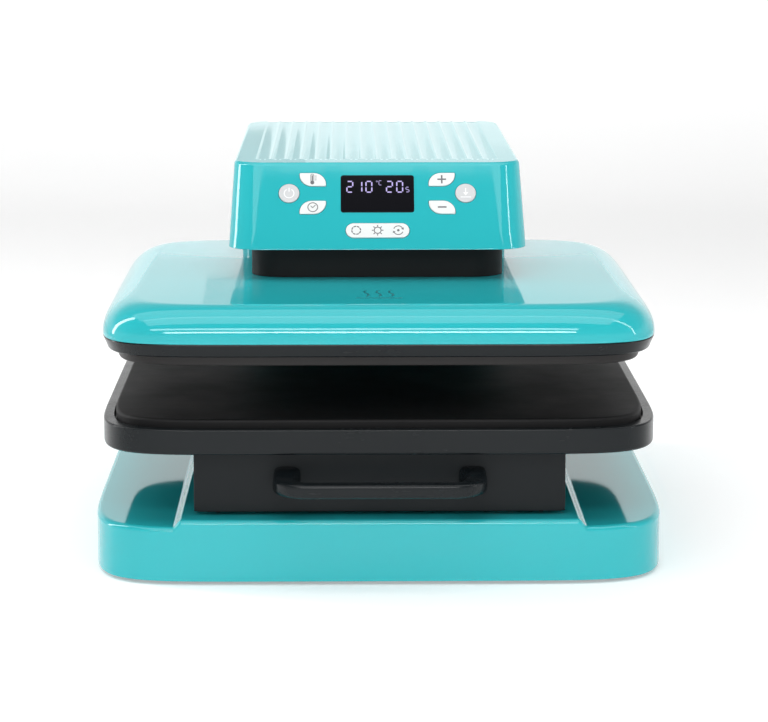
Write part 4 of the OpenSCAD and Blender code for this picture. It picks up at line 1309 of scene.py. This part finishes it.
def make_sky():
    """A studio surround that is bright near the horizon and darker overhead."""
    world = bpy.context.scene.world or bpy.data.worlds.new("studio")
    bpy.context.scene.world = world
    world.use_nodes = True
    tree = world.node_tree
    place = tree.nodes.new("ShaderNodeTexCoord")
    split = tree.nodes.new("ShaderNodeSeparateXYZ")
    ramp = tree.nodes.new("ShaderNodeValToRGB")
    stops = ((0.0, 0.85), (0.24, 0.8), (0.42, 0.32), (0.8, 0.12), (1.0, 0.3))
    ends = zip(ramp.color_ramp.elements, (stops[0], stops[-1]))
    for element, (position, level) in ends:
        element.position = position
        element.color = (level, level, level, 1)
    for position, level in stops[1:-1]:
        ramp.color_ramp.elements.new(position).color = (level, level, level, 1)
    back = tree.nodes["Background"]
    back.inputs["Strength"].default_value = 1.25
    wire(tree, place, "Generated", split, "Vector")
    wire(tree, split, "Z", ramp, "Fac")
    wire(tree, ramp, "Color", back, "Color")


def make_lights():
    """Five soft lights, a strip that shows only as a glint, and a fill that never does."""
    for name, place, aim, size, strength in (
            ("front_light", (-0.4, -2.3, 2.1), (0, -0.1, 0.12), (2.4, 0.3), 17),
            ("high_light", (0.0, -0.6, 1.9), (0, -0.25, 0.2), (2.2, 0.9), 12),
            ("top_light", (0.0, 0.3, 1.9), (0, 0.1, 0.2), (2.4, 1.2), 10),
            ("left_strip", (-1.8, 0.6, 1.2), (0, 0, 0.2), (0.35, 2.0), 20),
            ("right_strip", (1.7, -0.5, 1.3), (0, 0, 0.2), (0.08, 2.0), 7)):
        soft_light(name, place, aim, size, strength)
    glint = soft_light("low_strip", (-0.2, -2.9, 1.75), (0, -0.1, 0.15), (2.0, 0.26), 26)
    glint.visible_diffuse = False
    fill = soft_light("base_fill", (0, BASE_LOW.y - 0.8, 0.13), (0, BASE_LOW.y, 0.03),
                      (1.2, 0.1), 1.3)
    fill.visible_glossy = False
    fill.visible_camera = False


def make_camera():
    """A long lens from the front, a little above the head and left of the middle."""
    back, up, left = 1.98, 0.5091, 0.0245
    down, aside = math.radians(9.9), math.radians(0.79)
    data = bpy.data.cameras.new("product_camera")
    data.sensor_width = 36
    data.lens = 132.9
    data.clip_end = 30
    camera = bpy.data.objects.new("product_camera", data)
    camera.location = (-left, BASE_LOW.y - back, up)
    camera.rotation_euler = Euler((math.pi / 2 - down, 0, -aside))
    bpy.context.scene.collection.objects.link(camera)
    bpy.context.scene.camera = camera
    bpy.context.scene.view_settings.view_transform = "Standard"


def make_stage():
    make_floor()
    make_sky()
    make_flag()
    make_lights()
    make_camera()


# ---------- Operators ----------


class HEATPRESS_OT_base(bpy.types.Operator):
    """Build the glossy base with its raised deck"""

    bl_idname = "heat_press.base"
    bl_label = "Base"

    def execute(self, context):
        make_base()
        return {"FINISHED"}


class HEATPRESS_OT_drawer(bpy.types.Operator):
    """Build the drawer's face and its pull handle"""

    bl_idname = "heat_press.drawer"
    bl_label = "Drawer and handle"

    def execute(self, context):
        make_drawer_front()
        make_handle()
        return {"FINISHED"}


class HEATPRESS_OT_tray(bpy.types.Operator):
    """Build the tray and the silicone pad in it"""

    bl_idname = "heat_press.tray"
    bl_label = "Tray and pad"

    def execute(self, context):
        make_tray()
        make_pad()
        return {"FINISHED"}


class HEATPRESS_OT_platen(bpy.types.Operator):
    """Build the platen's dome, band, heated plate, skirt and printed heat waves"""

    bl_idname = "heat_press.platen"
    bl_label = "Heated platen"

    def execute(self, context):
        make_dome()
        make_band()
        make_hot_plate()
        make_skirt()
        make_cover_mark()
        return {"FINISHED"}


class HEATPRESS_OT_head(bpy.types.Operator):
    """Build the fluted head with its key wells"""

    bl_idname = "heat_press.head"
    bl_label = "Head"

    def execute(self, context):
        make_head_with_wells()
        return {"FINISHED"}


class HEATPRESS_OT_keys(bpy.types.Operator):
    """Build the keys and the signs on them"""

    bl_idname = "heat_press.keys"
    bl_label = "Keys"

    def execute(self, context):
        for name in KEYS:
            make_key(name)
        return {"FINISHED"}


class HEATPRESS_OT_display(bpy.types.Operator):
    """Build the display window and its lit digits"""

    bl_idname = "heat_press.display"
    bl_label = "Display"

    def execute(self, context):
        make_display()
        return {"FINISHED"}


class HEATPRESS_OT_finishes(bpy.types.Operator):
    """Give the frame's own pieces their finishes"""

    bl_idname = "heat_press.finishes"
    bl_label = "Frame finishes"

    def execute(self, context):
        dress_frame()
        return {"FINISHED"}


class HEATPRESS_OT_stage(bpy.types.Operator):
    """Set out the floor, the lights and the camera"""

    bl_idname = "heat_press.stage"
    bl_label = "Stage"

    def execute(self, context):
        make_stage()
        return {"FINISHED"}


OPERATORS = (
    HEATPRESS_OT_base,
    HEATPRESS_OT_drawer,
    HEATPRESS_OT_tray,
    HEATPRESS_OT_platen,
    HEATPRESS_OT_head,
    HEATPRESS_OT_keys,
    HEATPRESS_OT_display,
    HEATPRESS_OT_finishes,
    HEATPRESS_OT_stage,
)


class HEATPRESS_PT_sidebar(bpy.types.Panel):
    """Sizes, colours and builders of the heat press"""

    bl_idname = "HEATPRESS_PT_sidebar"
    bl_label = "Heat press"
    bl_space_type = "VIEW_3D"
    bl_region_type = "UI"
    bl_category = "Heat press"

    def draw(self, context):
        for group in (context.scene.press_sizes, context.scene.press_colours):
            box = self.layout.box()
            for name in group.__annotations__:
                box.prop(group, name)
        for operator in OPERATORS:
            self.layout.operator(operator.bl_idname)


CLASSES = (PressSizes, PressColours) + OPERATORS + (HEATPRESS_PT_sidebar,)


def register():
    for item in CLASSES:
        bpy.utils.register_class(item)
    bpy.types.Scene.press_sizes = PointerProperty(type=PressSizes)
    bpy.types.Scene.press_colours = PointerProperty(type=PressColours)


def unregister():
    del bpy.types.Scene.press_colours
    del bpy.types.Scene.press_sizes
    for item in reversed(CLASSES):
        bpy.utils.unregister_class(item)


def main():
    register()
    bpy.ops.heat_press.base()
    bpy.ops.heat_press.drawer()
    bpy.ops.heat_press.tray()
    bpy.ops.heat_press.platen()
    bpy.ops.heat_press.head()
    bpy.ops.heat_press.keys()
    bpy.ops.heat_press.display()
    bpy.ops.heat_press.finishes()
    bpy.ops.heat_press.stage()


if __name__ == "__main__":
    main()
